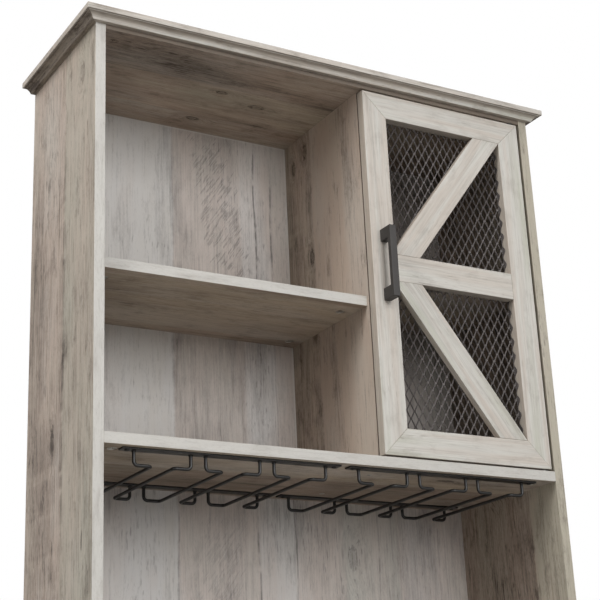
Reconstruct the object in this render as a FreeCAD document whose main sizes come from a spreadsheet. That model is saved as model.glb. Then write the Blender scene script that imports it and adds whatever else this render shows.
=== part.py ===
import FreeCAD, Part
import Sketcher
import operator
import os

# A tall, shallow bar cabinet. Upper half: an open bay on the left and a bay behind a mesh door on the
# right. Under them, a full-width shelf carries two stemware racks over an open niche. Lower half: the
# same two bays between the counter and the bottom panel.
# Millimetres. +Z is up, +Y runs from the front to the back, and +X to the right as seen from the front.
# The origin is the middle of the footprint, on the floor.

SIZES = {
    # Carcass: outer width, depth of the side panels, boards, and the clear heights
    "width": 800,
    "side_depth": 258,
    "board": 16,
    "glide_rise": 5,
    "plinth_rise": 80,
    "plinth_setback": 30,
    "bay_rise": 611,
    "niche_rise": 420,
    # Divider: from the outer face of the left side panel to the divider's left face, and its setback
    "divider_place": 463,
    "divider_setback": 17.5,
    # Shelves: heights above the floor of the bay, setbacks, and clearances of the loose shelf
    "left_shelf_rise": 243,
    "left_shelf_setback": 23,
    "right_shelf_rise": 297,
    "right_shelf_setback": 30,
    "shelf_end_gap": 1,
    "shelf_back_gap": 2,
    # Back boards and the nails that hold them
    "back_board": 3,
    "back_inset": 2,
    "back_joint_gap": 1,
    "nail_round": 0.9,
    "nail_long": 20,
    "nail_head_round": 2.5,
    "nail_head_rise": 0.6,
    "nail_end_inset": 40,
    "nail_joint_inset": 4,
    # Crown: the board on top, and the cove moulding under its overhang
    "crown_board": 9,
    "crown_front": 22,
    "crown_side": 21,
    "cove_reach": 19,
    "cove_rise": 9,
    "cove_lip": 1,
    "cove_round": 12,
    # Cam fittings: lock, its bore in the board, and the bolt that runs into the neighbouring panel
    "cam_round": 7.5,
    "cam_rise": 12,
    "cam_setback": 24,
    "cam_front_inset": 29,
    "cam_rear_inset": 30,
    "shelf_cam_inset": 42,
    "cam_bolt_round": 3,
    "cam_bolt_bite": 10.5,
    "cam_slot_past": 1,
    # Dowels
    "dowel_round": 4,
    "dowel_bite": 10,
    "dowel_run": 20,
    "dowel_end_gap": 0.5,
    # Clearance around a fitting in its hole
    "fit_gap": 0.1,
    # Screws through a board into a divider's end
    "long_screw_round": 2.5,
    "long_screw_long": 48,
    "long_screw_head_round": 4.5,
    "long_screw_head_rise": 2.5,
    "long_screw_front": 58,
    "long_screw_rear": 200,
    # Small pan-head screws
    "screw_round": 1.75,
    "screw_long": 12,
    "screw_head_round": 3.5,
    "screw_head_rise": 1.8,
    # Shelf pins and their hole columns
    "pin_round": 2.5,
    "pin_bite": 8,
    "pin_reach": 7,
    "pin_front": 60,
    "pin_rear": 200,
    "pin_pitch": 32,
    # Glides nailed under the side panels
    "glide_round": 7.5,
    "glide_pin_round": 1.2,
    "glide_pin_long": 12,
    "glide_inset": 30,
    # Stemware racks: flat bars under the shelf, and bent wires that hang from them
    "rack_side": 31.5,
    "rack_front": 10,
    "rack_rear": 20,
    "rack_gap": 15,
    "rack_bar_wide": 16,
    "rack_bar_board": 2.5,
    "rack_screw_inset": 9,
    "rack_leg_inset": 4,
    "rack_drop": 22.2,
    "channel_margin": 20.9,
    "channel_apart": 22.9,
    "channel_slot": 33.4,
    "wire_round": 2.5,
    "wire_bend": 6,
    # Doors: gaps to the carcass, frame members, braces
    "door_reveal": 0.5,
    "door_side_gap": 5.5,
    "door_gap": 3,
    "door_board": 16,
    "frame_wide": 43,
    "mid_rail_wide": 45,
    "brace_across": 54,
    "brace_cut": 8,
    "brace_board": 12,
    # Door mesh: diamonds in a sheet that laps behind the frame, and the staples that hold it
    "mesh_board": 1.2,
    "mesh_lap": 10,
    "mesh_strand": 1.6,
    "mesh_border": 6,
    "staple_span": 10,
    "staple_wire": 1.2,
    "staple_leg": 6,
    # Door handle: a flat bar on two posts, one piece
    "handle_long": 118,
    "handle_wide": 12,
    "handle_reach": 28,
    "handle_bar": 8,
    "handle_post": 20,
    "handle_inset": 16.5,
    "handle_screw_round": 2,
    "handle_screw_bite": 12,
    "handle_screw_head_round": 4,
    "handle_screw_head_rise": 2.5,
    # Door pivots: pins in the door's edges, bushes in the boards above and below
    "pivot_inset": 10,
    "pivot_round": 3,
    "pivot_deep": 14,
    "pivot_run": 6,
    "bush_wall": 2,
    "bush_deep": 9,
    "bush_floor": 2,
    "bush_flange_round": 7,
    "bush_flange_rise": 1,
    # Magnetic catch in the divider's front edge, strike disc on the door
    "magnet_round": 5,
    "magnet_long": 10,
    "strike_round": 6,
    "strike_board": 1,
    "catch_rise": 100,
    # Angle bracket that ties the cabinet to a wall
    "bracket_wide": 24,
    "bracket_leg": 25,
    "bracket_drop": 32,
    "bracket_board": 2,
    "bracket_hole_round": 2.75,
    "bracket_hole_drop": 20,
    "bracket_screw_inset": 14,
}

# Whole numbers: what repeats, and how often
RACK_CHANNELS = 3
PIN_HOLES = 5
PIN_IN_USE = 3
MESH_COLUMNS = 16
MESH_ROWS = 10

# Shares of a length at which fasteners stand along it
STAPLE_SHARES = (0.12, 0.5, 0.88)
NAIL_SHARES = (0, 0.25, 0.5, 0.75, 1)
LOWER_NAIL_SHARES = (0, 0.14, 0.28, 0.42, 0.56, 0.7, 0.84, 1)

doc = FreeCAD.newDocument("bar_cabinet")
sheet = doc.addObject("Spreadsheet::Sheet", "Sizes")
for row, (alias, value) in enumerate(SIZES.items(), start=1):
    sheet.set("A%d" % row, alias)
    sheet.set("B%d" % row, str(value))
    sheet.setAlias("B%d" % row, alias)
doc.recompute()


class Size:
    """A size: its formula in the sheet's names, and the number which that formula gives."""

    def __init__(self, text, number):
        self.text = text
        self.number = number

    def __add__(self, other):
        return joined(self, "+", other, operator.add)

    def __radd__(self, other):
        return joined(other, "+", self, operator.add)

    def __sub__(self, other):
        return joined(self, "-", other, operator.sub)

    def __rsub__(self, other):
        return joined(other, "-", self, operator.sub)

    def __mul__(self, other):
        return joined(self, "*", other, operator.mul)

    def __rmul__(self, other):
        return joined(other, "*", self, operator.mul)

    def __truediv__(self, other):
        return joined(self, "/", other, operator.truediv)


def as_size(value):
    """A plain number as a size; a size as it is."""
    return value if isinstance(value, Size) else Size(str(value), value)


def joined(first, sign, second, work):
    """Two sizes joined by one arithmetic sign."""
    first = as_size(first)
    second = as_size(second)
    return Size("(%s %s %s)" % (first.text, sign, second.text), work(first.number, second.number))


class Driving:
    """The sheet's cells as sizes, one attribute each."""


size = Driving()
for alias in SIZES:
    setattr(size, alias, Size("Sizes." + alias, float(sheet.get(alias))))

# Places across the cabinet
left = 0 - size.width / 2
right = size.width / 2
inner_left = left + size.board
inner_right = right - size.board
divider_left = left + size.divider_place
divider_right = divider_left + size.board

# Places from front to back: the handle reaches furthest forward, the back boards furthest back
front = (size.handle_reach - size.side_depth - size.back_board) / 2
rear = front + size.side_depth
back = rear + size.back_board
divider_front = front + size.divider_setback

# Levels: undersides of the boards, and floors of the bays
bottom = size.glide_rise + size.plinth_rise
lower_bay = bottom + size.board
counter = lower_bay + size.bay_rise
niche = counter + size.board
rack_shelf = niche + size.niche_rise
upper_bay = rack_shelf + size.board
top = upper_bay + size.bay_rise
crown = top + size.board

AXES = {
    "x": (FreeCAD.Vector(1, 0, 0), FreeCAD.Rotation(FreeCAD.Vector(0, 1, 0), 90)),
    "y": (FreeCAD.Vector(0, 1, 0), FreeCAD.Rotation(FreeCAD.Vector(1, 0, 0), -90)),
    "z": (FreeCAD.Vector(0, 0, 1), FreeCAD.Rotation()),
}

nodes = {}
holes = {}


def bind(piece, prop, value):
    """Ties a property to a size of the sheet."""
    piece.setExpression(prop, as_size(value).text)


def place(piece, corner):
    """Ties a piece's place to sizes of the sheet."""
    for axis, value in zip("xyz", corner):
        bind(piece, "Placement.Base." + axis, value)


def box(name, corner, sides):
    """A block between its lowest corner and its three sides."""
    piece = doc.addObject("Part::Box", name)
    for prop, value in zip(("Length", "Width", "Height"), sides):
        bind(piece, prop, value)
    place(piece, corner)
    return piece


def rod(name, start, radius, length, axis):
    """A round bar from its start along one axis."""
    piece = doc.addObject("Part::Cylinder", name)
    bind(piece, "Radius", radius)
    bind(piece, "Height", length)
    piece.Placement = FreeCAD.Placement(FreeCAD.Vector(), AXES[axis][1])
    place(piece, start)
    return piece


def prism(name, plane, outline, depth, corner):
    """An outline drawn in the XY, XZ or YZ plane, padded along the third axis, set at a corner."""
    body = doc.addObject("PartDesign::Body", name)
    sketch = body.newObject("Sketcher::SketchObject", name + "_outline")
    for datum in body.Origin.OriginFeatures:
        if datum.Role == plane + "_Plane":
            sketch.AttachmentSupport = [(datum, "")]
    sketch.MapMode = "FlatFace"
    points = [(as_size(u), as_size(v)) for u, v in outline]
    corners = [FreeCAD.Vector(u.number, v.number, 0) for u, v in points]
    for index, point in enumerate(corners):
        sketch.addGeometry(Part.LineSegment(point, corners[(index + 1) % len(corners)]))
    for index in range(len(corners)):
        sketch.addConstraint(Sketcher.Constraint("Coincident", index, 2, (index + 1) % len(corners), 1))
    for index, pair in enumerate(points):
        for kind, value in zip(("DistanceX", "DistanceY"), pair):
            rule = sketch.addConstraint(Sketcher.Constraint(kind, -1, 1, index, 1, value.number))
            bind(sketch, "Constraints[%d]" % rule, value)
    pad = body.newObject("PartDesign::Pad", name + "_pad")
    pad.Profile = sketch
    bind(pad, "Length", depth)
    pad.Reversed = plane == "XZ"
    place(body, corner)
    return body


def fused(name, pieces):
    """Pieces joined into one."""
    joint = doc.addObject("Part::MultiFuse", name)
    joint.Shapes = pieces
    return joint


def cut(name, piece, tools):
    """A piece with tools taken out of it."""
    rest = doc.addObject("Part::Cut", name)
    rest.Base = piece
    rest.Tool = tools[0] if len(tools) == 1 else fused(name + "_tools", tools)
    return rest


def hole(board, tool):
    """Keeps a tool for the board that it is cut from."""
    holes.setdefault(board, []).append(tool)


def node(name, piece):
    """Cuts the piece's holes and files it under its name."""
    if name in holes:
        piece = cut(name + "_drilled", piece, holes.pop(name))
    piece.Label = name
    nodes[name] = piece


def group(name, pieces):
    """Like pieces, each a solid of its own, filed under one name."""
    several = doc.addObject("Part::Compound", name)
    several.Links = pieces
    node(name, several)


def feature(name, shape):
    """A piece whose shape is worked out here, filed under its name."""
    piece = doc.addObject("Part::Feature", name)
    piece.Shape = shape
    node(name, piece)
    return piece


def board(name, corner, sides):
    """A rectangular board with its holes."""
    node(name, box(name + "_blank", corner, sides))


# Cam fittings and dowels at the ends of the boards
cams = []
cam_bolts = []
dowels = []


def along_x(name, face, way, before, after, radius, y, z):
    """A rod through a panel's face at face, along X: before it by one length, past it by another."""
    start = face - before if way > 0 else face - after
    return rod(name, (start, y, z), radius, before + after, "x")


def cam_joint(name, board_name, underside, wall, face, way, y):
    """A cam lock in the underside of a board, and its bolt from the wall panel at the board's end."""
    centre = face + size.cam_setback if way > 0 else face - size.cam_setback
    middle = underside + size.board / 2
    around = size.cam_bolt_round + size.fit_gap
    hole(board_name, rod(name + "_bore", (centre, y, underside), size.cam_round + size.fit_gap,
                         size.cam_rise, "z"))
    hole(board_name, along_x(name + "_run", face, way, size.fit_gap, size.cam_setback, around, y, middle))
    hole(wall, along_x(name + "_bite", face, way, size.cam_bolt_bite, size.fit_gap, around, y, middle))
    disc = rod(name + "_disc", (centre, y, underside), size.cam_round, size.cam_rise, "z")
    slot_start = centre - size.cam_round - size.fit_gap if way > 0 else centre - size.cam_slot_past
    slot = box(name + "_slot", (slot_start, y - around, middle - around),
               (size.cam_round + size.fit_gap + size.cam_slot_past, 2 * around, 2 * around))
    cams.append(cut(name + "_lock", disc, [slot]))
    cam_bolts.append(along_x(name + "_bolt", face, way, size.cam_bolt_bite, size.cam_setback,
                             size.cam_bolt_round, y, middle))


def dowel_joint(name, board_name, underside, wall, face, way, y):
    """A dowel between the end of a board and the wall panel beside it."""
    middle = underside + size.board / 2
    around = size.dowel_round + size.fit_gap
    hole(board_name, along_x(name + "_run", face, way, size.fit_gap, size.dowel_run + size.dowel_end_gap,
                             around, y, middle))
    hole(wall, along_x(name + "_bite", face, way, size.dowel_bite, size.fit_gap, around, y, middle))
    dowels.append(along_x(name, face, way, size.dowel_bite, size.dowel_run, size.dowel_round, y, middle))


def end_joints(board_name, underside, ends, front_y, rear_y):
    """Two cam fittings with a dowel between them, at each end of a board."""
    for wall, face, way in ends:
        name = "%s_in_%s" % (board_name, wall)
        cam_joint(name + "_front", board_name, underside, wall, face, way, front_y)
        cam_joint(name + "_rear", board_name, underside, wall, face, way, rear_y)
        dowel_joint(name + "_dowel", board_name, underside, wall, face, way, (front_y + rear_y) / 2)


full_width = (("side_panel_left", inner_left, 1), ("side_panel_right", inner_right, -1))
for board_name, underside in (("bottom_panel", bottom), ("counter_board", counter),
                              ("rack_shelf", rack_shelf), ("top_panel", top)):
    end_joints(board_name, underside, full_width, front + size.cam_front_inset, rear - size.cam_rear_inset)

left_shelves = (("shelf_upper_left", upper_bay, "divider_upper"),
                ("shelf_lower_left", lower_bay, "divider_lower"))
for shelf_name, floor, divider in left_shelves:
    end_joints(shelf_name, floor + size.left_shelf_rise,
               (("side_panel_left", inner_left, 1), (divider, divider_left, -1)),
               front + size.left_shelf_setback + size.shelf_cam_inset, rear - size.cam_rear_inset)

# Screws through the boards into the ends of the dividers, and dowels where the counter shows
divider_middle = divider_left + size.board / 2
long_screws = []


def headed(name, point, axis, way, shank, length, head, head_rise):
    """A screw: its shank runs from the point along an axis (way 1 or -1), and its head lies behind it."""
    x, y, z = point
    start = {"x": x, "y": y, "z": z}
    shank_start = dict(start)
    head_start = dict(start)
    if way > 0:
        head_start[axis] = start[axis] - head_rise
    else:
        shank_start[axis] = start[axis] - length
    pieces = [rod(name + "_shank", tuple(shank_start.values()), shank, length, axis),
              rod(name + "_head", tuple(head_start.values()), head, head_rise, axis)]
    return fused(name, pieces)


def divider_screw(name, board_name, divider, board_face, way, y):
    """A long screw through a board into the end of a divider, its head sunk flush with the board."""
    sink = size.long_screw_head_rise
    seat = board_face + sink if way > 0 else board_face - sink
    hole_head = board_face if way > 0 else board_face - sink
    around = size.long_screw_round + size.fit_gap
    reach = size.long_screw_long + size.fit_gap
    run = seat if way > 0 else seat - reach
    hole(board_name, rod(name + "_head_hole", (divider_middle, y, hole_head),
                         size.long_screw_head_round + size.fit_gap, sink, "z"))
    hole(board_name, rod(name + "_board_hole", (divider_middle, y, run), around, reach, "z"))
    hole(divider, rod(name + "_divider_hole", (divider_middle, y, run), around, reach, "z"))
    long_screws.append(headed(name, (divider_middle, y, seat), "z", way, size.long_screw_round,
                              size.long_screw_long, size.long_screw_head_round,
                              size.long_screw_head_rise))


for end, inset in (("front", size.long_screw_front), ("rear", size.long_screw_rear)):
    divider_screw("screw_rack_shelf_" + end, "rack_shelf", "divider_upper", rack_shelf, 1, front + inset)
    divider_screw("screw_top_" + end, "top_panel", "divider_upper", crown, -1, front + inset)
    divider_screw("screw_bottom_" + end, "bottom_panel", "divider_lower", bottom, 1, front + inset)
    counter_dowel = "dowel_counter_" + end
    run_start = counter - size.dowel_run
    for target in ("divider_lower", "counter_board"):
        hole(target, rod(counter_dowel + "_in_" + target,
                         (divider_middle, front + inset, run_start - size.dowel_end_gap),
                         size.dowel_round + size.fit_gap,
                         size.dowel_run + size.dowel_bite + size.dowel_end_gap, "z"))
    dowels.append(rod(counter_dowel, (divider_middle, front + inset, run_start), size.dowel_round,
                      size.dowel_run + size.dowel_bite, "z"))
group("divider_screws", long_screws)

# Shelf pins, and the hole columns in the divider and the right side panel
pins = []
for bay, floor, divider in (("upper", upper_bay, "divider_upper"), ("lower", lower_bay, "divider_lower")):
    pin_level = floor + size.right_shelf_rise - size.pin_round
    for wall, face, way in ((divider, divider_right, 1), ("side_panel_right", inner_right, -1)):
        for end, inset in (("front", size.pin_front), ("rear", size.pin_rear)):
            name = "pin_%s_%s_%s" % (bay, wall, end)
            pins.append(along_x(name, face, way, size.pin_bite, size.pin_reach, size.pin_round,
                                front + inset, pin_level))
            for count in range(PIN_HOLES):
                level = pin_level + size.pin_pitch * (count + 1 - PIN_IN_USE)
                hole(wall, along_x("%s_hole_%d" % (name, count), face, way, size.pin_bite,
                                   size.fit_gap, size.pin_round + size.fit_gap, front + inset, level))
group("shelf_pins", pins)

# Stemware racks
small_screws = []
rack_start = inner_left + size.rack_side
rack_long = (inner_right - inner_left - 2 * size.rack_side - size.rack_gap) / 2
channel_run = rack_long - 2 * size.channel_margin - size.channel_apart * (RACK_CHANNELS - 1)
channel_wide = channel_run / RACK_CHANNELS
channel_pitch = channel_wide + size.channel_apart
bar_under = rack_shelf - size.rack_bar_board
bar_places = (("front", front + size.rack_front),
              ("rear", rear - size.rack_rear - size.rack_bar_wide))


def bent_path(points, bend):
    """A path of straight runs whose square corners are rounded to the bend."""
    edges = []
    start = points[0]
    for before, corner, after in zip(points, points[1:], points[2:]):
        arriving = FreeCAD.Vector(corner - before).normalize()
        leaving = FreeCAD.Vector(after - corner).normalize()
        entry = corner - arriving * bend
        centre = entry + leaving * bend
        middle = centre + FreeCAD.Vector(corner - centre).normalize() * bend
        leave = corner + leaving * bend
        edges.append(Part.LineSegment(start, entry).toShape())
        edges.append(Part.Arc(entry, middle, leave).toShape())
        start = leave
    edges.append(Part.LineSegment(start, points[-1]).toShape())
    return Part.Wire(edges)


def wire_shape(leg_x, rod_x):
    """One rack wire: down from the front bar, in, back along the shelf, out, and up to the rear bar."""
    leg_inset = size.rack_bar_wide - size.rack_leg_inset
    front_y = (bar_places[0][1] + leg_inset).number
    rear_y = (bar_places[1][1] + leg_inset).number
    high = bar_under.number
    low = (rack_shelf - size.rack_drop).number
    points = [FreeCAD.Vector(leg_x, front_y, high), FreeCAD.Vector(leg_x, front_y, low),
              FreeCAD.Vector(rod_x, front_y, low), FreeCAD.Vector(rod_x, rear_y, low),
              FreeCAD.Vector(leg_x, rear_y, low), FreeCAD.Vector(leg_x, rear_y, high)]
    path = bent_path(points, size.wire_bend.number)
    ring = Part.Wire(Part.Circle(points[0], FreeCAD.Vector(0, 0, -1), size.wire_round.number).toShape())
    return path.makePipeShell([ring], True, False)


def stemware_rack(name, start):
    """Two flat bars screwed under the shelf, and a pair of bent wires for each row of glasses."""
    bars = []
    for end, bar_y in bar_places:
        bar_name = "%s_bar_%s" % (name, end)
        blank = box(bar_name + "_blank", (start, bar_y, bar_under),
                    (rack_long, size.rack_bar_wide, size.rack_bar_board))
        drilled = []
        for side, x in (("left", start + size.rack_screw_inset),
                        ("right", start + rack_long - size.rack_screw_inset)):
            screw = "%s_screw_%s" % (bar_name, side)
            y = bar_y + size.rack_bar_wide / 2
            around = size.screw_round + size.fit_gap
            drilled.append(rod(screw + "_bar_hole", (x, y, bar_under), around, size.rack_bar_board, "z"))
            hole("rack_shelf", rod(screw + "_hole", (x, y, rack_shelf), around,
                                   size.screw_long - size.rack_bar_board + size.fit_gap, "z"))
            small_screws.append(headed(screw, (x, y, bar_under), "z", 1, size.screw_round,
                                       size.screw_long, size.screw_head_round, size.screw_head_rise))
        bars.append(cut(bar_name, blank, drilled))
    group(name + "_bars", bars)
    step = ((channel_wide - size.channel_slot) / 2).number
    wires = []
    for channel in range(RACK_CHANNELS):
        first = (start + size.channel_margin + channel_pitch * channel).number
        last = first + channel_wide.number
        wires.append(wire_shape(first, first + step))
        wires.append(wire_shape(last, last - step))
    feature(name + "_wires", Part.makeCompound(wires))


stemware_rack("rack_left", rack_start)
stemware_rack("rack_right", rack_start + rack_long + size.rack_gap)

# Bracket that ties the cabinet to a wall, under the top panel behind the upper door
bracket_middle = (divider_right + inner_right) / 2
bracket = prism("wall_bracket_angle", "YZ",
                ((0, size.bracket_drop), (size.bracket_leg, size.bracket_drop), (size.bracket_leg, 0),
                 (size.bracket_leg - size.bracket_board, 0),
                 (size.bracket_leg - size.bracket_board, size.bracket_drop - size.bracket_board),
                 (0, size.bracket_drop - size.bracket_board)),
                size.bracket_wide,
                (bracket_middle - size.bracket_wide / 2, rear - size.bracket_leg, top - size.bracket_drop))
bracket_hole_level = top - size.bracket_hole_drop
bracket_screw_y = rear - size.bracket_screw_inset
hole("wall_bracket", rod("wall_hole", (bracket_middle, rear - size.bracket_board, bracket_hole_level),
                         size.bracket_hole_round, size.bracket_board, "y"))
hole("back_panel_upper", rod("wall_hole_behind", (bracket_middle, rear, bracket_hole_level),
                             size.bracket_hole_round, size.back_board, "y"))
hole("wall_bracket", rod("bracket_screw_hole", (bracket_middle, bracket_screw_y, top - size.bracket_board),
                         size.screw_round + size.fit_gap, size.bracket_board, "z"))
hole("top_panel", rod("bracket_screw_pilot", (bracket_middle, bracket_screw_y, top),
                      size.screw_round + size.fit_gap,
                      size.screw_long - size.bracket_board + size.fit_gap, "z"))
node("wall_bracket", bracket)
small_screws.append(headed("bracket_screw", (bracket_middle, bracket_screw_y, top - size.bracket_board),
                           "z", 1, size.screw_round, size.screw_long, size.screw_head_round,
                           size.screw_head_rise))
group("small_screws", small_screws)

# Doors: places that both share
door_left = divider_left + size.door_reveal
door_right = inner_right - size.door_side_gap
door_wide = door_right - door_left
door_rise = size.bay_rise - 2 * size.door_gap
door_rear = front + size.door_board
opening_left = door_left + size.frame_wide
opening_wide = door_wide - 2 * size.frame_wide
opening_rise = (door_rise - 2 * size.frame_wide - size.mid_rail_wide) / 2
pivot_x = door_right - size.pivot_inset
pivot_y = front + size.door_board / 2
mesh_wide = opening_wide + 2 * (size.mesh_lap - size.mesh_border)
mesh_rise = opening_rise + 2 * (size.mesh_lap - size.mesh_border)
magnets = []
bushes = []


def mesh_net():
    """A flat sheet with staggered diamonds, standing in the XZ plane around the origin."""
    half_wide = (mesh_wide / 2 + size.mesh_border).number
    half_rise = (mesh_rise / 2 + size.mesh_border).number
    cell_x = mesh_wide.number / (2 * MESH_COLUMNS)
    cell_z = mesh_rise.number / (2 * MESH_ROWS)
    slant = (cell_x ** 2 + cell_z ** 2) ** 0.5
    keep = 1 - size.mesh_strand.number * slant / (2 * cell_x * cell_z)

    def ring(corners):
        points = [FreeCAD.Vector(x, 0, z) for x, z in corners]
        return Part.makePolygon(points + points[:1])

    def diamond(x, z):
        wide = cell_x * keep
        rise = cell_z * keep
        return ring(((x - wide, z), (x, z - rise), (x + wide, z), (x, z + rise)))

    rings = [ring(((-half_wide, -half_rise), (half_wide, -half_rise), (half_wide, half_rise),
                   (-half_wide, half_rise)))]
    for row in range(2 * MESH_ROWS - 1):
        z = cell_z * (row + 1 - MESH_ROWS)
        in_row = MESH_COLUMNS - row % 2
        for column in range(in_row):
            rings.append(diamond(cell_x * (2 * column + 1 - in_row), z))
    face = Part.Face(rings, "Part::FaceMakerBullseye")
    return face.extrude(FreeCAD.Vector(0, size.mesh_board.number, 0))


def staple(x, z, upright):
    """A staple over the mesh edge: a crown behind the sheet and two legs in the wood."""
    span = size.staple_span.number
    wire = size.staple_wire.number
    behind = (door_rear + size.mesh_board).number
    leg = size.staple_leg.number + size.mesh_board.number
    crown_bar = Part.makeBox(span, wire, wire, FreeCAD.Vector(-span / 2, 0, -wire / 2))
    first_leg = Part.makeBox(wire, leg, wire, FreeCAD.Vector(-span / 2, -leg, -wire / 2))
    last_leg = Part.makeBox(wire, leg, wire, FreeCAD.Vector(span / 2 - wire, -leg, -wire / 2))
    shape = crown_bar.multiFuse([first_leg, last_leg]).removeSplitter()
    turn = FreeCAD.Rotation(FreeCAD.Vector(0, 1, 0), 90 if upright else 0)
    shape.Placement = FreeCAD.Placement(FreeCAD.Vector(x, behind, z), turn)
    return shape


def pivot(name, floor, way, board_name, frame_names):
    """A pin in the door's edge and the flanged bush that it turns in (way 1: the bush is below)."""
    edge = floor + size.door_gap * way
    pin_long = size.pivot_deep + size.door_gap + size.pivot_run
    pin_start = floor - size.pivot_run if way > 0 else floor + size.pivot_run - pin_long
    bore_start = edge if way > 0 else edge - size.pivot_deep
    for frame_name in frame_names:
        hole(frame_name, rod("%s_%s_bore" % (name, frame_name), (pivot_x, pivot_y, bore_start),
                             size.pivot_round + size.fit_gap, size.pivot_deep, "z"))
    outer = size.pivot_round + size.fit_gap + size.bush_wall
    barrel_start = floor - size.bush_deep if way > 0 else floor
    hole(board_name, rod(name + "_seat", (pivot_x, pivot_y, barrel_start), outer + size.fit_gap,
                         size.bush_deep, "z"))
    barrel = rod(name + "_barrel", (pivot_x, pivot_y, barrel_start), outer, size.bush_deep, "z")
    flange_start = floor if way > 0 else floor - size.bush_flange_rise
    flange = rod(name + "_flange", (pivot_x, pivot_y, flange_start), size.bush_flange_round,
                 size.bush_flange_rise, "z")
    bore_deep = size.bush_deep - size.bush_floor + size.bush_flange_rise
    inner_start = barrel_start + size.bush_floor if way > 0 else flange_start
    bore = rod(name + "_bush_bore", (pivot_x, pivot_y, inner_start), size.pivot_round + size.fit_gap,
               bore_deep, "z")
    bushes.append(cut(name + "_bush", fused(name + "_bush_blank", [barrel, flange]), [bore]))
    return rod(name + "_pin", (pivot_x, pivot_y, pin_start), size.pivot_round, pin_long, "z")


def door(name, floor, board_below, board_above, divider):
    """A mitred frame with a middle rail, two braces, a mesh behind it, a handle and its pivots."""
    low = floor + size.door_gap
    wide = size.frame_wide
    centre = low + door_rise / 2
    frame = {part: "%s_%s" % (name, part)
             for part in ("stile_left", "stile_right", "rail_bottom", "rail_top", "rail_middle")}

    pins = [pivot(name + "_pivot_low", floor, 1, board_below,
                  (frame["rail_bottom"], frame["stile_right"])),
            pivot(name + "_pivot_high", floor + size.bay_rise, -1, board_above,
                  (frame["rail_top"], frame["stile_right"]))]
    group(name + "_pivot_pins", pins)

    handle_x = door_left + size.handle_inset
    handle_z = centre - size.handle_long / 2
    handle = prism(name + "_handle_bar", "YZ",
                   ((0, 0), (size.handle_reach, 0), (size.handle_reach, size.handle_post),
                    (size.handle_bar, size.handle_post),
                    (size.handle_bar, size.handle_long - size.handle_post),
                    (size.handle_reach, size.handle_long - size.handle_post),
                    (size.handle_reach, size.handle_long), (0, size.handle_long)),
                   size.handle_wide, (handle_x, front - size.handle_reach, handle_z))
    screws = []
    for end, z in (("low", handle_z + size.handle_post / 2),
                   ("high", handle_z + size.handle_long - size.handle_post / 2)):
        screw = "%s_handle_screw_%s" % (name, end)
        x = handle_x + size.handle_wide / 2
        around = size.handle_screw_round + size.fit_gap
        hole(frame["stile_left"], rod(screw + "_hole", (x, front, z), around, size.door_board, "y"))
        bite = size.handle_screw_bite + size.fit_gap
        hole(name + "_handle", rod(screw + "_post_hole", (x, front - bite, z), around, bite, "y"))
        screws.append(headed(screw, (x, door_rear, z), "y", -1, size.handle_screw_round,
                             size.door_board + size.handle_screw_bite, size.handle_screw_head_round,
                             size.handle_screw_head_rise))
    node(name + "_handle", handle)
    group(name + "_handle_screws", screws)

    outlines = {
        "stile_left": (door_left, low,
                       ((0, 0), (wide, wide), (wide, door_rise - wide), (0, door_rise))),
        "stile_right": (door_right - wide, low,
                        ((0, wide), (wide, 0), (wide, door_rise), (0, door_rise - wide))),
        "rail_bottom": (door_left, low,
                        ((0, 0), (door_wide, 0), (door_wide - wide, wide), (wide, wide))),
        "rail_top": (door_left, low + door_rise - wide,
                     ((wide, 0), (door_wide - wide, 0), (door_wide, wide), (0, wide))),
    }
    for part, (x, z, outline) in outlines.items():
        node(frame[part], prism(frame[part] + "_blank", "XZ", outline, size.door_board, (x, front, z)))
    board(frame["rail_middle"], (opening_left, front, centre - size.mid_rail_wide / 2),
          (opening_wide, size.door_board, size.mid_rail_wide))

    # Each brace runs from the middle rail at the handle side to a far corner, cut square at both rails
    slope = (opening_rise - size.brace_cut) / (opening_wide - size.brace_across)
    foot = opening_wide - opening_rise / slope
    upper = ((0, 0), (foot, 0), (opening_wide, opening_rise),
             (opening_wide - size.brace_across, opening_rise), (0, size.brace_cut))
    lower = tuple((u, opening_rise - v) for u, v in upper)
    node(name + "_brace_upper", prism(name + "_brace_upper_blank", "XZ", upper, size.brace_board,
                                      (opening_left, front, centre + size.mid_rail_wide / 2)))
    node(name + "_brace_lower", prism(name + "_brace_lower_blank", "XZ", lower, size.brace_board,
                                      (opening_left, front, low + wide)))

    middle_x = (opening_left + opening_wide / 2).number
    sheets = []
    staples = []
    reach_x = ((mesh_wide + size.mesh_border) / 2).number
    reach_z = ((mesh_rise + size.mesh_border) / 2).number
    for away in (-1, 1):
        middle_z = (centre + (size.mid_rail_wide + opening_rise) / 2 * away).number
        sheets.append(net.translated(FreeCAD.Vector(middle_x, door_rear.number, middle_z)))
        for share in STAPLE_SHARES:
            along_wide = (2 * share - 1) * reach_x
            along_rise = (2 * share - 1) * reach_z
            for side in (-1, 1):
                staples.append(staple(middle_x + side * reach_x, middle_z + along_rise, True))
                staples.append(staple(middle_x + along_wide, middle_z + side * reach_z, False))
    feature(name + "_mesh", Part.makeCompound(sheets))
    feature(name + "_staples", Part.makeCompound(staples))

    catch_z = centre + size.catch_rise
    node(name + "_strike", rod(name + "_strike_disc", (divider_middle, door_rear, catch_z),
                               size.strike_round, size.strike_board, "y"))
    hole(divider, rod(name + "_magnet_bore", (divider_middle, divider_front, catch_z),
                      size.magnet_round + size.fit_gap, size.magnet_long, "y"))
    magnets.append(rod(name + "_magnet", (divider_middle, divider_front, catch_z), size.magnet_round,
                       size.magnet_long, "y"))


net = mesh_net()
door("upper_door", upper_bay, "rack_shelf", "top_panel", "divider_upper")
door("lower_door", lower_bay, "bottom_panel", "counter_board", "divider_lower")
group("door_bushes", bushes)
group("catch_magnets", magnets)
group("cam_locks", cams)
group("cam_bolts", cam_bolts)
group("dowels", dowels)

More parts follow.
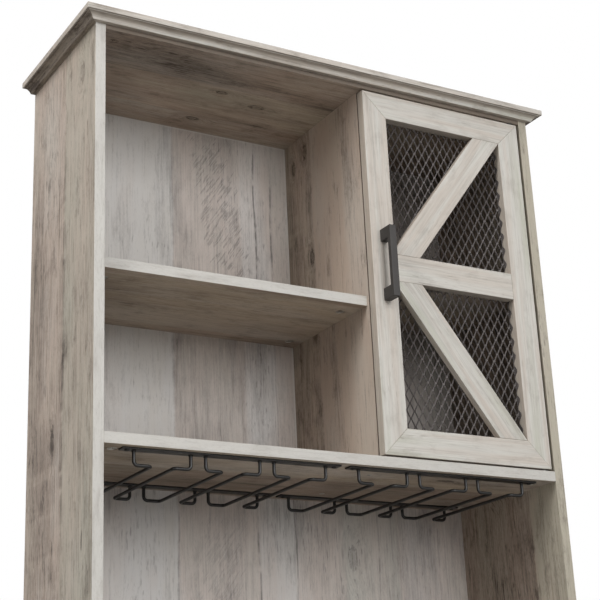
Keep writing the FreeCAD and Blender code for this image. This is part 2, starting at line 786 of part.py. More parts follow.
# Back boards: one above the middle of the rack shelf, one below it
back_left = left + size.back_inset
back_wide = size.width - 2 * size.back_inset
back_joint = rack_shelf + size.board / 2
nails = []


def nail(name, back_name, x, z):
    """A nail through a back board, its head sunk flush."""
    head_start = back - size.nail_head_rise
    hole(back_name, rod(name + "_sink", (x, head_start, z), size.nail_head_round + size.fit_gap,
                        size.nail_head_rise, "y"))
    hole(back_name, rod(name + "_hole", (x, rear, z), size.nail_round + size.fit_gap, size.back_board, "y"))
    nails.append(headed(name, (x, head_start, z), "y", -1, size.nail_round, size.nail_long,
                        size.nail_head_round, size.nail_head_rise))


def nail_column(name, back_name, x, low, high, shares):
    """Nails up one panel."""
    for count, share in enumerate(shares):
        nail("%s_%d" % (name, count), back_name, x, low + (high - low) * share)


def nail_line(name, back_name, start, end, level):
    """Nails along one board, between its ends."""
    for count, share in enumerate(NAIL_SHARES[1:-1]):
        nail("%s_%d" % (name, count), back_name, start + (end - start) * share, level)


side_middles = (("left", left + size.board / 2), ("right", right - size.board / 2))
for side, x in side_middles:
    nail_column("nail_upper_" + side, "back_panel_upper", x, back_joint + size.nail_end_inset,
                crown - size.nail_end_inset, NAIL_SHARES)
    nail_column("nail_lower_" + side, "back_panel_lower", x, bottom + size.nail_end_inset,
                back_joint - size.nail_end_inset, LOWER_NAIL_SHARES)
nail_column("nail_divider_upper", "back_panel_upper", divider_middle,
            upper_bay + size.nail_end_inset, top - size.nail_end_inset, NAIL_SHARES[1:-1])
nail_column("nail_divider_lower", "back_panel_lower", divider_middle,
            lower_bay + size.nail_end_inset, counter - size.nail_end_inset, NAIL_SHARES[1:-1])
nail_line("nail_top", "back_panel_upper", left, right, top + size.board / 2)
nail_line("nail_joint_above", "back_panel_upper", left, right, back_joint + size.nail_joint_inset)
nail_line("nail_joint_below", "back_panel_lower", left, right, back_joint - size.nail_joint_inset)
nail_line("nail_counter", "back_panel_lower", left, right, counter + size.board / 2)
nail_line("nail_bottom", "back_panel_lower", left, right, bottom + size.board / 2)
group("back_nails", nails)

upper_start = back_joint + size.back_joint_gap / 2
board("back_panel_upper", (back_left, rear, upper_start),
      (back_wide, size.back_board, crown - upper_start))
board("back_panel_lower", (back_left, rear, bottom),
      (back_wide, size.back_board, back_joint - size.back_joint_gap / 2 - bottom))

# Boards of the carcass
panel_rise = crown - size.glide_rise
board("side_panel_left", (left, front, size.glide_rise),
      (size.board, size.side_depth, panel_rise))
board("side_panel_right", (inner_right, front, size.glide_rise),
      (size.board, size.side_depth, panel_rise))
inner_wide = size.width - 2 * size.board
for board_name, underside in (("bottom_panel", bottom), ("counter_board", counter),
                              ("rack_shelf", rack_shelf), ("top_panel", top)):
    board(board_name, (inner_left, front, underside), (inner_wide, size.side_depth, size.board))
divider_deep = size.side_depth - size.divider_setback
for board_name, floor in (("divider_upper", upper_bay), ("divider_lower", lower_bay)):
    board(board_name, (divider_left, divider_front, floor), (size.board, divider_deep, size.bay_rise))
left_shelf_deep = size.side_depth - size.left_shelf_setback
right_shelf_deep = size.side_depth - size.right_shelf_setback - size.shelf_back_gap
for board_name, floor in (("shelf_upper_left", upper_bay), ("shelf_lower_left", lower_bay)):
    board(board_name, (inner_left, front + size.left_shelf_setback, floor + size.left_shelf_rise),
          (divider_left - inner_left, left_shelf_deep, size.board))
for board_name, floor in (("shelf_upper_right", upper_bay), ("shelf_lower_right", lower_bay)):
    board(board_name, (divider_right + size.shelf_end_gap, front + size.right_shelf_setback,
                       floor + size.right_shelf_rise),
          (inner_right - divider_right - 2 * size.shelf_end_gap, right_shelf_deep, size.board))
board("plinth_board", (inner_left, front + size.plinth_setback, size.glide_rise),
      (inner_wide, size.board, size.plinth_rise))

# Glides: a disc under each corner of the side panels, with a pin up into the board
glides = []
for side, x in side_middles:
    for end, y in (("front", front + size.glide_inset), ("rear", rear - size.glide_inset)):
        name = "glide_%s_%s" % (side, end)
        disc = rod(name + "_disc", (x, y, 0), size.glide_round, size.glide_rise, "z")
        spike = rod(name + "_spike", (x, y, size.glide_rise), size.glide_pin_round,
                    size.glide_pin_long, "z")
        glides.append(fused(name, [disc, spike]))
group("glides", glides)

# Crown board, and the cove moulding under its overhang, mitred at the two front corners
board("crown_board", (left - size.crown_side, front - size.crown_front, crown),
      (size.width + 2 * size.crown_side, back - front + size.crown_front, size.crown_board))
reach = size.cove_reach
cove_level = crown - size.cove_rise
scoop_level = crown - size.cove_lip - size.cove_round
front_long = size.width + 2 * reach
side_long = size.side_depth + reach
hole("crown_moulding_front", rod("cove_front", (left - reach, front - reach, scoop_level),
                                 size.cove_round, front_long, "x"))
hole("crown_moulding_left", rod("cove_left", (left - reach, front - reach, scoop_level),
                                size.cove_round, side_long, "y"))
hole("crown_moulding_right", rod("cove_right", (right + reach, front - reach, scoop_level),
                                 size.cove_round, side_long, "y"))
node("crown_moulding_front",
     prism("crown_front_blank", "XY",
           ((0, 0), (front_long, 0), (front_long - reach, reach), (reach, reach)),
           size.cove_rise, (left - reach, front - reach, cove_level)))
node("crown_moulding_left",
     prism("crown_left_blank", "XY", ((0, 0), (reach, reach), (reach, side_long), (0, side_long)),
           size.cove_rise, (left - reach, front - reach, cove_level)))
node("crown_moulding_right",
     prism("crown_right_blank", "XY", ((reach, 0), (reach, side_long), (0, side_long), (0, reach)),
           size.cove_rise, (right, front - reach, cove_level)))

doc.recompute()

for item in doc.Objects:
    if "Invalid" in item.State or "Error" in item.State:
        raise RuntimeError("failed: %s %s" % (item.Label, item.State))
if holes:
    raise RuntimeError("holes without a board: %s" % sorted(holes))
for name, piece in nodes.items():
    if piece.Shape.isNull() or not piece.Shape.isValid() or not piece.Shape.Solids:
        raise RuntimeError("bad shape: " + name)

os.makedirs("parts", exist_ok=True)
for name, piece in nodes.items():
    piece.Shape.exportStep("parts/%s.step" % name)

whole = FreeCAD.BoundBox()
for piece in nodes.values():
    whole.add(piece.Shape.BoundBox)
print("%d nodes, %d solids" % (len(nodes), sum(len(piece.Shape.Solids) for piece in nodes.values())))
print("box", whole)
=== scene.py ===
import bmesh
import bpy
import math
from collections import namedtuple
from bpy.props import BoolProperty, FloatProperty, FloatVectorProperty, IntProperty, PointerProperty
from mathutils import Euler, Matrix, Vector


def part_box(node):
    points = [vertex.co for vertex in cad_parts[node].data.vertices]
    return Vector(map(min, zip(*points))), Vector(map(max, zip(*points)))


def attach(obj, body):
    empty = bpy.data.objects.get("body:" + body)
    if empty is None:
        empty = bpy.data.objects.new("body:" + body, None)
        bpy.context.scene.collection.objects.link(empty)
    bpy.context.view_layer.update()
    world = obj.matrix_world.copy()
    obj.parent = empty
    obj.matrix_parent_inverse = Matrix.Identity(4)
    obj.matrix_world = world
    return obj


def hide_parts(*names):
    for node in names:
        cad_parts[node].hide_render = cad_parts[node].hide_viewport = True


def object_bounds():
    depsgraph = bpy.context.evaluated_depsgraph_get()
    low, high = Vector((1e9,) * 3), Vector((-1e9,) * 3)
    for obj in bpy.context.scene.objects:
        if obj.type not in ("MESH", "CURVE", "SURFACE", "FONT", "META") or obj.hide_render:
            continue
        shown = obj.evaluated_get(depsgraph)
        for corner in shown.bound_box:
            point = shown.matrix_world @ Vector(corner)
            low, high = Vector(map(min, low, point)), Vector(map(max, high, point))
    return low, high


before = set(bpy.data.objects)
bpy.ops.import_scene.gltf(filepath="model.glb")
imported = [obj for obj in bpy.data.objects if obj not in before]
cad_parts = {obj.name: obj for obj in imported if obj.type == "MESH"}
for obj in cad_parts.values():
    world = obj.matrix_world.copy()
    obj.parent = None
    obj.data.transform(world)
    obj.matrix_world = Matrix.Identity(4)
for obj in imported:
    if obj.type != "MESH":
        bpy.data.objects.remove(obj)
CAD_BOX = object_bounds()

bl_info = {
    "name": "Bar cabinet",
    "version": (1, 0, 0),
    "blender": (4, 5, 0),
    "location": "3D View > Sidebar > Cabinet",
    "description": "Finishes, nets and fittings of a tall bar cabinet with racks and mesh doors",
    "category": "Object",
}

# Turns that bring a board's grain onto the third axis of its pattern
GRAIN_UP = (0, 0, 0)
GRAIN_ALONG_X = (0, -math.pi / 2, 0)
GRAIN_ALONG_Y = (math.pi / 2, 0, 0)

# Boards of the carcass by the way they lie: the turn of their grain, the axis across their face,
# and their shares of the warm wash, the haze, added darkness, streaks and blotches
# The added darkness of the lying boards and of the side mouldings is painted shade, for faces seen
# from below
Run = namedtuple("Run", "boards turn broad_axis warm haze darker streaks blotches")
RUNS = (
    Run(("side_panel_left", "side_panel_right", "divider_upper", "divider_lower"), GRAIN_UP, 1,
        0.7, 0, -0.11, 1.2, 0.42),
    Run(("back_panel_upper", "back_panel_lower"), GRAIN_UP, 0, 0, 0.2, -0.17, 1, 0.24),
    # Lying boards: their added darkness is painted shade, for their undersides
    Run(("top_panel", "rack_shelf", "counter_board", "bottom_panel", "shelf_upper_left",
         "shelf_upper_right", "shelf_lower_left", "shelf_lower_right"), GRAIN_ALONG_X, 1,
        1, 0, 0.06, 0.7, 0.26),
    Run(("plinth_board",), GRAIN_ALONG_X, 0, 0.7, 0, 0, 0.9, 0.26),
    # Side mouldings of the crown: their added darkness is painted shade, for their downward-facing
    # coves
    Run(("crown_moulding_left", "crown_moulding_right"), GRAIN_ALONG_Y, 1, 1, 0, 0.5, 1, 0.4),
)
CROWN_FRONT = ("crown_board", "crown_moulding_front")
DOORS = ("upper_door", "lower_door")
DOOR_MEMBERS = ("stile_left", "stile_right", "rail_bottom", "rail_top", "rail_middle",
                "brace_upper", "brace_lower")
RACKS = ("rack_left", "rack_right")

# Layers of grain: clouds to a metre across and along it, detail and roughness
BOARD_GRAIN = {"smear": (17, 2.7, 5, 0.62), "mottle": (75, 15, 4, 0.66), "blotch": (42, 20, 5, 0.7),
               "narrow": (250, 28, 3, 0.62), "hair": (430, 8, 4, 0.7), "speck": (850, 190, 2, 0.5)}
DOOR_GRAIN = {"broad": (70, 2.6, 4, 0.6), "narrow": (330, 9, 3, 0.6), "hair": (900, 30, 2, 0.6),
              "patch": (14, 5, 2, 0.5), "dashes": (420, 40, 2, 0.5), "blotch": (60, 24, 4, 0.68)}

# Wide planks in a board's print: where each starts, its tone and how dark it is. Some are painted
# darker as shade, as noted at their boards
PLANKS = {
    "side_panel_left": ((-1, 0.22, -0.04), (0.001, 0.38, 0.02)),
    # The rear plank of the right side panel is a plank of its print, made darker as painted shade
    # on its inner face
    "side_panel_right": ((-1, 0.16, -0.2), (-0.045, 0.3, 0.24)),
    "divider_upper": ((-1, 0.38, -0.22), (0.055, 0.3, -0.02)),
    # The last plank of the upper back, behind the upper door's net, is painted darker as shade in
    # the closed bay
    "back_panel_upper": ((-1, 0.52, -0.04), (-0.158, 0.32, 0.1), (-0.03, 0.42, 0),
                         (0.028, 0.36, 0.04), (0.075, 0.3, 0.3)),
    "back_panel_lower": ((-1, 0.5, -0.04), (-0.155, 0.34, 0.06), (-0.014, 0.44, -0.02),
                         (0.052, 0.34, 0.03), (0.144, 0.24, 0.05), (0.25, 0.36, 0.1)),
}

# Knots: place across the board and along its grain, and half width
KNOTS = {
    "side_panel_left": ((-0.0675, 1.722, 0.007), (0.036, 1.18, 0.006), (-0.03, 0.62, 0.009)),
    "side_panel_right": ((0.02, 1.52, 0.008), (-0.05, 0.9, 0.007), (0.06, 0.33, 0.009)),
    "top_panel": ((-0.006, -0.136, 0.004), (0.097, -0.14, 0.005), (0.017, -0.06, 0.006)),
    "divider_upper": ((0.073, 1.742, 0.006), (0.112, 1.725, 0.005), (0.064, 1.543, 0.006)),
    "divider_lower": ((0.02, 0.5, 0.007),),
    "rack_shelf": ((-0.06, 0.21, 0.006),),
    "counter_board": ((0.05, 0.16, 0.009), (-0.04, -0.24, 0.007)),
    "back_panel_lower": ((-0.24, 0.93, 0.01), (0.16, 1.06, 0.008), (-0.11, 0.4, 0.01)),
    "bottom_panel": ((0.01, -0.2, 0.008),),
}

# Cracks: place across, lower and upper end along the grain, half width and depth
CRACKS = {
    "back_panel_upper": ((-0.158, 1.15, 1.8, 0.005, 0.3), (-0.0025, 1.4, 1.85, 0.0022, 0.85),
                         (0.029, 1.5, 1.76, 0.0022, 0.7), (-0.148, 1.2, 1.8, 0.011, 0.16)),
    "back_panel_lower": ((-0.154, 0.2, 1.3, 0.0022, 0.55), (-0.014, 0.3, 1.3, 0.0024, 0.8),
                         (0.053, 0.5, 1.3, 0.0016, 0.5), (0.21, 0.1, 1.4, 0.0022, 0.5)),
    "side_panel_left": ((0, 0.9, 1.72, 0.008, 0.45), (0.003, 0.1, 1.8, 0.02, 0.16),
                        (-0.088, 1.605, 1.64, 0.0018, 0.8), (-0.0775, 1.425, 1.445, 0.0018, 0.7),
                        (0.0835, 1.45, 1.47, 0.0016, 0.7), (-0.078, 1.005, 1.04, 0.002, 0.9),
                        (0.031, 1.015, 1.045, 0.002, 0.9), (0.036, 1.1, 1.3, 0.0025, 0.4),
                        (0.09, 0.5, 1.7, 0.01, 0.2), (0.07, 0.72, 1.32, 0.07, 0.24)),
    "divider_upper": ((0.066, 1.15, 1.8, 0.012, 0.25), (0.14, 1.1, 1.8, 0.06, 0.2)),
    "top_panel": ((0.018, -0.07, 0.1, 0.008, 0.1), (-0.05, -0.3, 0.1, 0.008, 0.1)),
}

# Patches of saw marks: their middle across and along, half width, half length, slant and depth
SAW_MARKS = {
    "back_panel_upper": ((-0.072, 1.64, 0.055, 0.17, -0.2, 0.42),),
    "back_panel_lower": ((-0.085, 1.03, 0.055, 0.11, 0.12, 0.22), (0.2, 0.5, 0.05, 0.1, 0, 0.4)),
    "side_panel_right": ((0.03, 1.2, 0.04, 0.1, 0, 0.4),),
}

# Thin pale lines painted on a board's face, at a place across and one along it, boards whose print
# runs over their front edge, and boards whose front edge is painted dark as shade
PALE_LINES = {"back_panel_upper": ((0.0615, 1.7738),)}
PLAIN_EDGES = ("back_panel_upper", "back_panel_lower", "crown_moulding_left",
               "crown_moulding_right", "side_panel_right")
EDGES_PAINTED_IN_SHADE = ("top_panel", "divider_upper", "divider_lower")

# Sockets of the Mix node when it mixes colours
MIX_FACTOR, MIX_FIRST, MIX_SECOND, MIX_RESULT = 0, 6, 7, 2

MILLIMETRE = 0.001
WELD_REACH = 0.00001

# Rounding of edges, and the sides of round pieces
FLAT_ANGLE, CORNER_ANGLE = math.radians(0.5), math.radians(40)
ROUNDING_STEPS = 2
SMALL_ROUND = 0.4 * MILLIMETRE
TURNED_SIDES, CAM_SIDES, BEAD_SIDES = 20, 28, 16

# Seeds of the pale wood's patterns, and how much stronger the crown's marks are than the doors'
CROWN_SEED, DOOR_SEED = 31, 50
CROWN_WEAR = 1.6

# Nets: how far they lie behind the door's back, the part of a strand that is its bond, and the
# points along a strand
NET_SETBACK = 0.1 * MILLIMETRE
BOND = 0.1
STRAND_POINTS = (0, BOND, 0.35, 0.65, 1 - BOND, 1)

# Wavy cut edge of a net: gap to the stile, steps to a wave, middle and swing of its reach
WAVE_GAP = 0.2 * MILLIMETRE
WAVE_STEPS = 8
WAVE_MIDDLE, WAVE_SWING = 0.5, 0.45

# Weld bead: how far it swells and how low it lies, step by step
BEAD_PROFILE = ((1, 0), (0.75, 0.45), (0.3, 1.1), (0.02, 1.9))

# Cams: how far the slotted face lies below the rim
CAM_STEP = 0.4 * MILLIMETRE

# Screws: ribs on the shank, and its radius beside the head's
SCREW_RIBS = 8
SHANK_SHARE = 0.5

# Lamps: place, side of the square, and the setting with the power. They aim at one share of
# the height
LAMPS = {"key_lamp": ((0.2, -4.4, 2.6), 2.2, "key"), "high_lamp": ((-2.8, -1.2, 4.2), 1.0, "high"),
         "side_lamp": ((-3.3, -1.3, 2.8), 1.0, "side"), "rear_lamp": ((2.8, 3.0, 2.8), 1.4, "rear")}
LAMP_AIM = 0.68

# Camera, and where the floor fades to white, in metres squared from the middle
SENSOR_WIDE, FAR_CLIP = 36, 100
FADE_START, FADE_END = 0.5, 7


def shade(red, green, blue):
    """A screen colour, each part from 0 to 255, as the linear colour that shaders take."""
    return tuple((part / 255 / 12.92) if part <= 10 else ((part / 255 + 0.055) / 1.055) ** 2.4
                 for part in (red, green, blue))


def tint(name, description, screen_colour):
    """A colour that a user can change."""
    return FloatVectorProperty(name=name, description=description, subtype="COLOR", min=0, max=1,
                               default=shade(*screen_colour))


def extent(name, description, millimetres):
    """A length that a user can change."""
    return FloatProperty(name=name, description=description, default=millimetres * MILLIMETRE,
                         min=0, subtype="DISTANCE", unit="LENGTH", precision=4)


def wattage(name, description, watts):
    """The power of a lamp that a user can change."""
    return FloatProperty(name=name, description=description, default=watts, min=0, subtype="POWER",
                         unit="POWER")


class WoodSettings(bpy.types.PropertyGroup):
    """Colours and sizes of the weathered boards and the pale doors."""

    rose: tint("Rose strips", "Pinkish grey strips of the boards", (188, 174, 164))
    moss: tint("Moss strips", "Greenish grey strips of the boards", (177, 174, 163))
    mist: tint("Mist strips", "Cool grey strips of the boards", (196, 193, 190))
    sand: tint("Sand strips", "Warm beige strips of the boards", (186, 176, 162))
    dark_grain: tint("Dark grain", "Streaks, cracks and knots of the boards", (76, 67, 61))
    warm: tint("Warm wash", "Wash over all boards but the back ones", (255, 246, 234))
    haze: tint("Haze", "Pale film over the back boards", (218, 217, 217))
    edging: tint("Edging", "Pale band on the boards' front edges", (199, 196, 190))
    edging_fleck: tint("Edging flecks", "Short marks in the edging", (160, 154, 146))
    # Painted shade: front edges that lie in shadow behind the crown and the doors get this dark
    # colour
    painted_edge_shade: tint("Bare edge", "Front edges behind the crown and the doors", (112, 100, 88))
    door_light: tint("Door, light", "Lightest tone of the door and crown", (207, 204, 197))
    door_rose: tint("Door, rose", "Pinkish tone of the door and crown", (199, 190, 180))
    door_moss: tint("Door, moss", "Greenish tone of the door and crown", (190, 189, 176))
    # The door grain colour also gives the painted shade on faces of the doors and the crown that
    # look down
    door_grain: tint("Door grain", "Streaks of the door and crown", (142, 133, 123))
    door_side: tint("Door sides", "Sides of the door members", (180, 164, 147))
    beech: tint("Beech", "Raw dowels", (205, 172, 128))
    strip_wide: extent("Strip width", "Mean width of a strip in the boards' pattern", 66)
    door_strip_wide: extent("Door strip width", "Mean width of a tone in the door members", 24)
    edge_round: extent("Board edge radius", "Rounding of the boards' edges", 0.5)
    door_edge_round: extent("Door edge radius", "Rounding of the door members' edges", 0.9)


class MetalSettings(bpy.types.PropertyGroup):
    """Colours and sizes of the racks, handles, nets and fittings."""

    rack: tint("Rack", "Satin coat of the stemware racks", (16, 15, 14))
    handle: tint("Handle", "Matt coat of the door handles", (49, 46, 44))
    net: tint("Net", "Coat of the door nets", (89, 84, 82))
    zinc: tint("Zinc", "Plated screws, cams and pins", (186, 184, 178))
    nylon: tint("Nylon", "Glides and pivot bushes", (46, 44, 43))
    net_columns: IntProperty(name="Net columns", description="Diamonds across one net",
                             default=16, min=1)
    net_rows: IntProperty(name="Net rows", description="Diamonds up one net", default=10, min=1)
    strand_wide: extent("Strand width", "Width of a net strand", 1.9)
    strand_thick: extent("Strand thickness", "Thickness of a net strand", 0.9)
    net_forward: extent("Net set forward", "How far a net comes forward in its opening", 1.3)
    strand_tilt: FloatProperty(name="Strand tilt",
                               description="Tilt of the net's strands out of its plane",
                               default=math.radians(55), subtype="ANGLE", unit="ROTATION")
    selvedge_reach: extent("Cut edge reach", "How far the wavy edge of a net stands forward", 7.5)
    net_border: extent("Net border", "Flat rim around a net, behind the door's frame", 6)
    bar_edge_round: extent("Bar edge radius", "Rounding of the handles' edges", 0.8)
    weld_swell: extent("Weld bead", "How far a weld bead swells past its wire", 1.1)
    cam_recess: extent("Cam recess", "How far a cam lies in its bore", 0.7)


class StageSettings(bpy.types.PropertyGroup):
    """Camera, floor and light."""

    camera_place: FloatVectorProperty(name="Camera place", description="Where the camera stands",
                                      default=(-1.1055, -1.8671, 0.6841), subtype="TRANSLATION",
                                      unit="LENGTH")
    camera_turn: FloatVectorProperty(name="Camera turn", description="How the camera is turned",
                                     default=[math.radians(a) for a in (110.382, 2.46, -29.713)],
                                     subtype="EULER", unit="ROTATION")
    camera_lens: FloatProperty(name="Lens", description="Focal length on a sensor 36 mm wide",
                               default=86.53, min=1, subtype="DISTANCE_CAMERA")
    camera_shift: FloatProperty(name="Shift", default=-0.05,
                                description="Vertical shift as a share of the picture")
    floor: tint("Floor", "Colour of the floor", (206, 205, 203))
    floor_wide: FloatProperty(name="Floor width", description="Side of the square floor",
                              default=14, subtype="DISTANCE", unit="LENGTH")
    sky: FloatProperty(name="Sky", description="Strength of the even light all around",
                       default=0.16, min=0)
    key: wattage("Key light", "Power of the large lamp at the front", 112)
    high: wattage("High light", "Power of the lamp high at the left", 60)
    side: wattage("Side light", "Power of the lamp at the left", 33)
    rear: wattage("Rear light", "Power of the lamp behind, at the right", 42)
    show_background: BoolProperty(name="White background", default=True,
                                  description="Camera and glossy rays see white")


def arithmetic(operation, reflected=False):
    """An operator that adds a Math node. A reflected one takes the value as its second term."""
    def calculate(self, other):
        return self.maths(operation, *((other, self) if reflected else (self, other)))
    return calculate


class Value:
    """An output of a node. Arithmetic on it adds Math nodes."""

    __add__, __radd__ = arithmetic("ADD"), arithmetic("ADD", True)
    __sub__, __rsub__ = arithmetic("SUBTRACT"), arithmetic("SUBTRACT", True)
    __mul__, __rmul__ = arithmetic("MULTIPLY"), arithmetic("MULTIPLY", True)
    __truediv__, __rtruediv__ = arithmetic("DIVIDE"), arithmetic("DIVIDE", True)

    # The smaller and the larger of two
    least, most = arithmetic("MINIMUM"), arithmetic("MAXIMUM")

    def __init__(self, finish, socket):
        self.finish = finish
        self.socket = socket

    def maths(self, operation, *terms):
        """One Math node over the terms."""
        return self.finish.node("ShaderNodeMath", {"operation": operation}, dict(enumerate(terms)))

    def floor(self):
        """The whole number below."""
        return self.maths("FLOOR", self)

    def sine(self):
        """The sine of the value as an angle in radians."""
        return self.maths("SINE", self)

    def near(self, place, reach):
        """1 close to a place and 0 beyond the reach."""
        return self.maths("ABSOLUTE", self - place).rise(reach, reach * 0.4)

    def rise(self, start, end):
        """A smooth step from 0 at start to 1 at end."""
        return self.finish.node("ShaderNodeMapRange", {"interpolation_type": "SMOOTHSTEP"},
                                {"Value": self, "From Min": start, "From Max": end})


class Finish:
    """A material and what its patterns are made of."""

    def __init__(self, name, tree=None):
        if tree is None:
            self.material = bpy.data.materials.new(name)
            self.material.use_nodes = True
            tree = self.material.node_tree
        self.tree = tree
        self.tree.nodes.clear()

    def node(self, kind, settings=(), links=(), out=0):
        """A node of a kind with its settings and its sockets' values or links. Gives one output."""
        made = self.tree.nodes.new(kind)
        for name, value in dict(settings).items():
            if name == "stops":
                self.set_stops(made.color_ramp, value)
            else:
                setattr(made, name, value)
        for key, value in dict(links).items():
            if isinstance(value, Value):
                self.tree.links.new(value.socket, made.inputs[key])
            else:
                made.inputs[key].default_value = value
        return Value(self, made.outputs[out]) if made.outputs else made

    def set_stops(self, ramp, stops):
        """Places and colours along a ramp."""
        while len(ramp.elements) < len(stops):
            ramp.elements.new(1)
        for element, (place, colour) in zip(ramp.elements, stops):
            element.position = place
            element.color = (*colour, 1)

    def place(self):
        """The point on the piece, in metres."""
        return self.node("ShaderNodeTexCoord", out="Object")

    def parts(self, vector):
        """The three parts of a vector."""
        split = self.node("ShaderNodeSeparateXYZ", links={0: vector})
        return tuple(Value(self, output) for output in split.socket.node.outputs)

    def joined(self, first, second, third=0.0):
        """A vector from three values."""
        return self.node("ShaderNodeCombineXYZ", links={0: first, 1: second, 2: third})

    def scaled(self, vector, scale):
        """A vector with each part multiplied by its own number."""
        return self.node("ShaderNodeVectorMath", {"operation": "MULTIPLY"}, {0: vector, 1: scale})

    def moved(self, vector, shift):
        """A vector with a vector added."""
        return self.node("ShaderNodeVectorMath", {"operation": "ADD"}, {0: vector, 1: shift})

    def noise(self, vector, detail=2.0, roughness=0.5):
        """Cloudy values between 0 and 1, a metre of the vector to a cloud."""
        return self.node("ShaderNodeTexNoise", links={"Vector": vector, "Scale": 1,
                                                      "Detail": detail, "Roughness": roughness})

    def clouds(self, vector, across, along, detail=2.0, roughness=0.5):
        """Noise with so many clouds to a metre across the grain and along it, on the third axis."""
        return self.noise(self.scaled(vector, (across, across, along)), detail, roughness)

    def outward(self):
        """The way that the surface faces, in three parts."""
        return self.parts(self.node("ShaderNodeTexCoord", out="Normal"))

    def light(self, kind, strength):
        """White light from a node of a kind."""
        return self.node(kind, links={"Color": (1, 1, 1, 1), "Strength": strength})

    def random(self, value):
        """A steady random number for each whole number."""
        return self.node("ShaderNodeTexWhiteNoise", {"noise_dimensions": "1D"}, {"W": value})

    def ramp(self, value, stops):
        """A colour for each value."""
        return self.node("ShaderNodeValToRGB", {"stops": stops}, {"Fac": value})

    def mixed(self, factor, first, second, blend="MIX"):
        """Two colours mixed by a factor."""
        first, second = (c if isinstance(c, Value) else (*c, 1) for c in (first, second))
        return self.node("ShaderNodeMix", {"data_type": "RGBA", "blend_type": blend},
                         {MIX_FACTOR: factor, MIX_FIRST: first, MIX_SECOND: second}, MIX_RESULT)

    def shader(self, colour, roughness, height, depth, plain=()):
        """A shader: colour, roughness and relief vary, and plain values go to its sockets."""
        normal = self.node("ShaderNodeBump",
                           links={"Height": height, "Distance": depth, "Strength": 1})
        links = {"Base Color": colour, "Roughness": roughness, "Normal": normal}
        links.update(plain)
        return self.node("ShaderNodeBsdfPrincipled", links=links)

    def blend(self, kind, factor, first, second):
        """Ends the tree in a node of a kind, with two shaders mixed by a factor."""
        both = self.node("ShaderNodeMixShader", links={0: factor, 1: first, 2: second})
        self.node(kind, links={"Surface": both})

    def surface(self, *shader):
        """The material with one shader."""
        self.node("ShaderNodeOutputMaterial", links={"Surface": self.shader(*shader)})
        return self.material


def toned(colour, factor, lift=0.0):
    """A colour made lighter or darker."""
    return tuple(min(1, part * factor + lift) for part in colour)


def seeded(seed):
    """A shift of the pattern that gives each board its own piece of it."""
    return (seed * 1.37, seed * 2.11, seed * 0.73)


def grain_space(finish, turn):
    """Pattern space of a board: its grain runs along the third axis."""
    return finish.node("ShaderNodeVectorRotate", {"rotation_type": "EULER_XYZ"},
                       {"Vector": finish.place(), "Rotation": turn})


def knots(across, along, rough, places):
    """Knots at their places: how near a point is to one, and how dark its eye and ring are."""
    near = dark = 0.0
    for place_across, place_along, size in places:
        aside = (across - place_across) / size
        down = (along - place_along) / (size * 2.3)
        distance = across.maths("SQRT", aside * aside + down * down)
        near = distance.rise(4, 0.5).most(near)
        uneven = distance + (rough - 0.5) * 1.8
        broken_ring = uneven.near(0.95, 0.4) * rough.rise(0.36, 0.56)
        dark = (broken_ring * 0.9).most(uneven.rise(1.1, 0.2) * 0.5).most(dark)
    return near, dark


def cracks(finish, across, along, rough, places):
    """Dark broken lines along the grain at their places."""
    dark = 0.0
    for place, low, high, reach, depth in places:
        wander = (along * 31 + place * 70).sine() * 0.0012
        line = (across + wander + rough * 0.004).near(place + 0.002, reach)
        broken = finish.noise(finish.joined(along * 16, place * 9), 3, 0.7).rise(0.34, 0.56)
        ends = along.near((low + high) / 2, (high - low) / 2)
        dark = (line * broken * ends * depth).most(dark)
    return dark


def saw_marks(finish, across, along, places):
    """Patches of fine slanted scratches, as a saw leaves them across the grain."""
    if not places:
        return 0.0
    patch = depth = 0.0
    for place_across, place_along, half_wide, half_long, slant, deepest in places:
        aside = across - place_across - (along - place_along) * slant
        reach = aside.near(0, half_wide) * along.near(place_along, half_long)
        patch = reach.most(patch)
        depth = ((reach * 3).least(1) * deepest).most(depth)
    run = across * 0.56 + along * 0.83
    beside = along * 0.56 - across * 0.83
    strokes = finish.noise(finish.joined(beside * 300, run * 26), 3, 0.7)
    groups = finish.noise(finish.joined(across * 30, along * 45), 2)
    return (strokes + patch * 0.16 + groups * 0.4).rise(0.84, 0.94) * depth


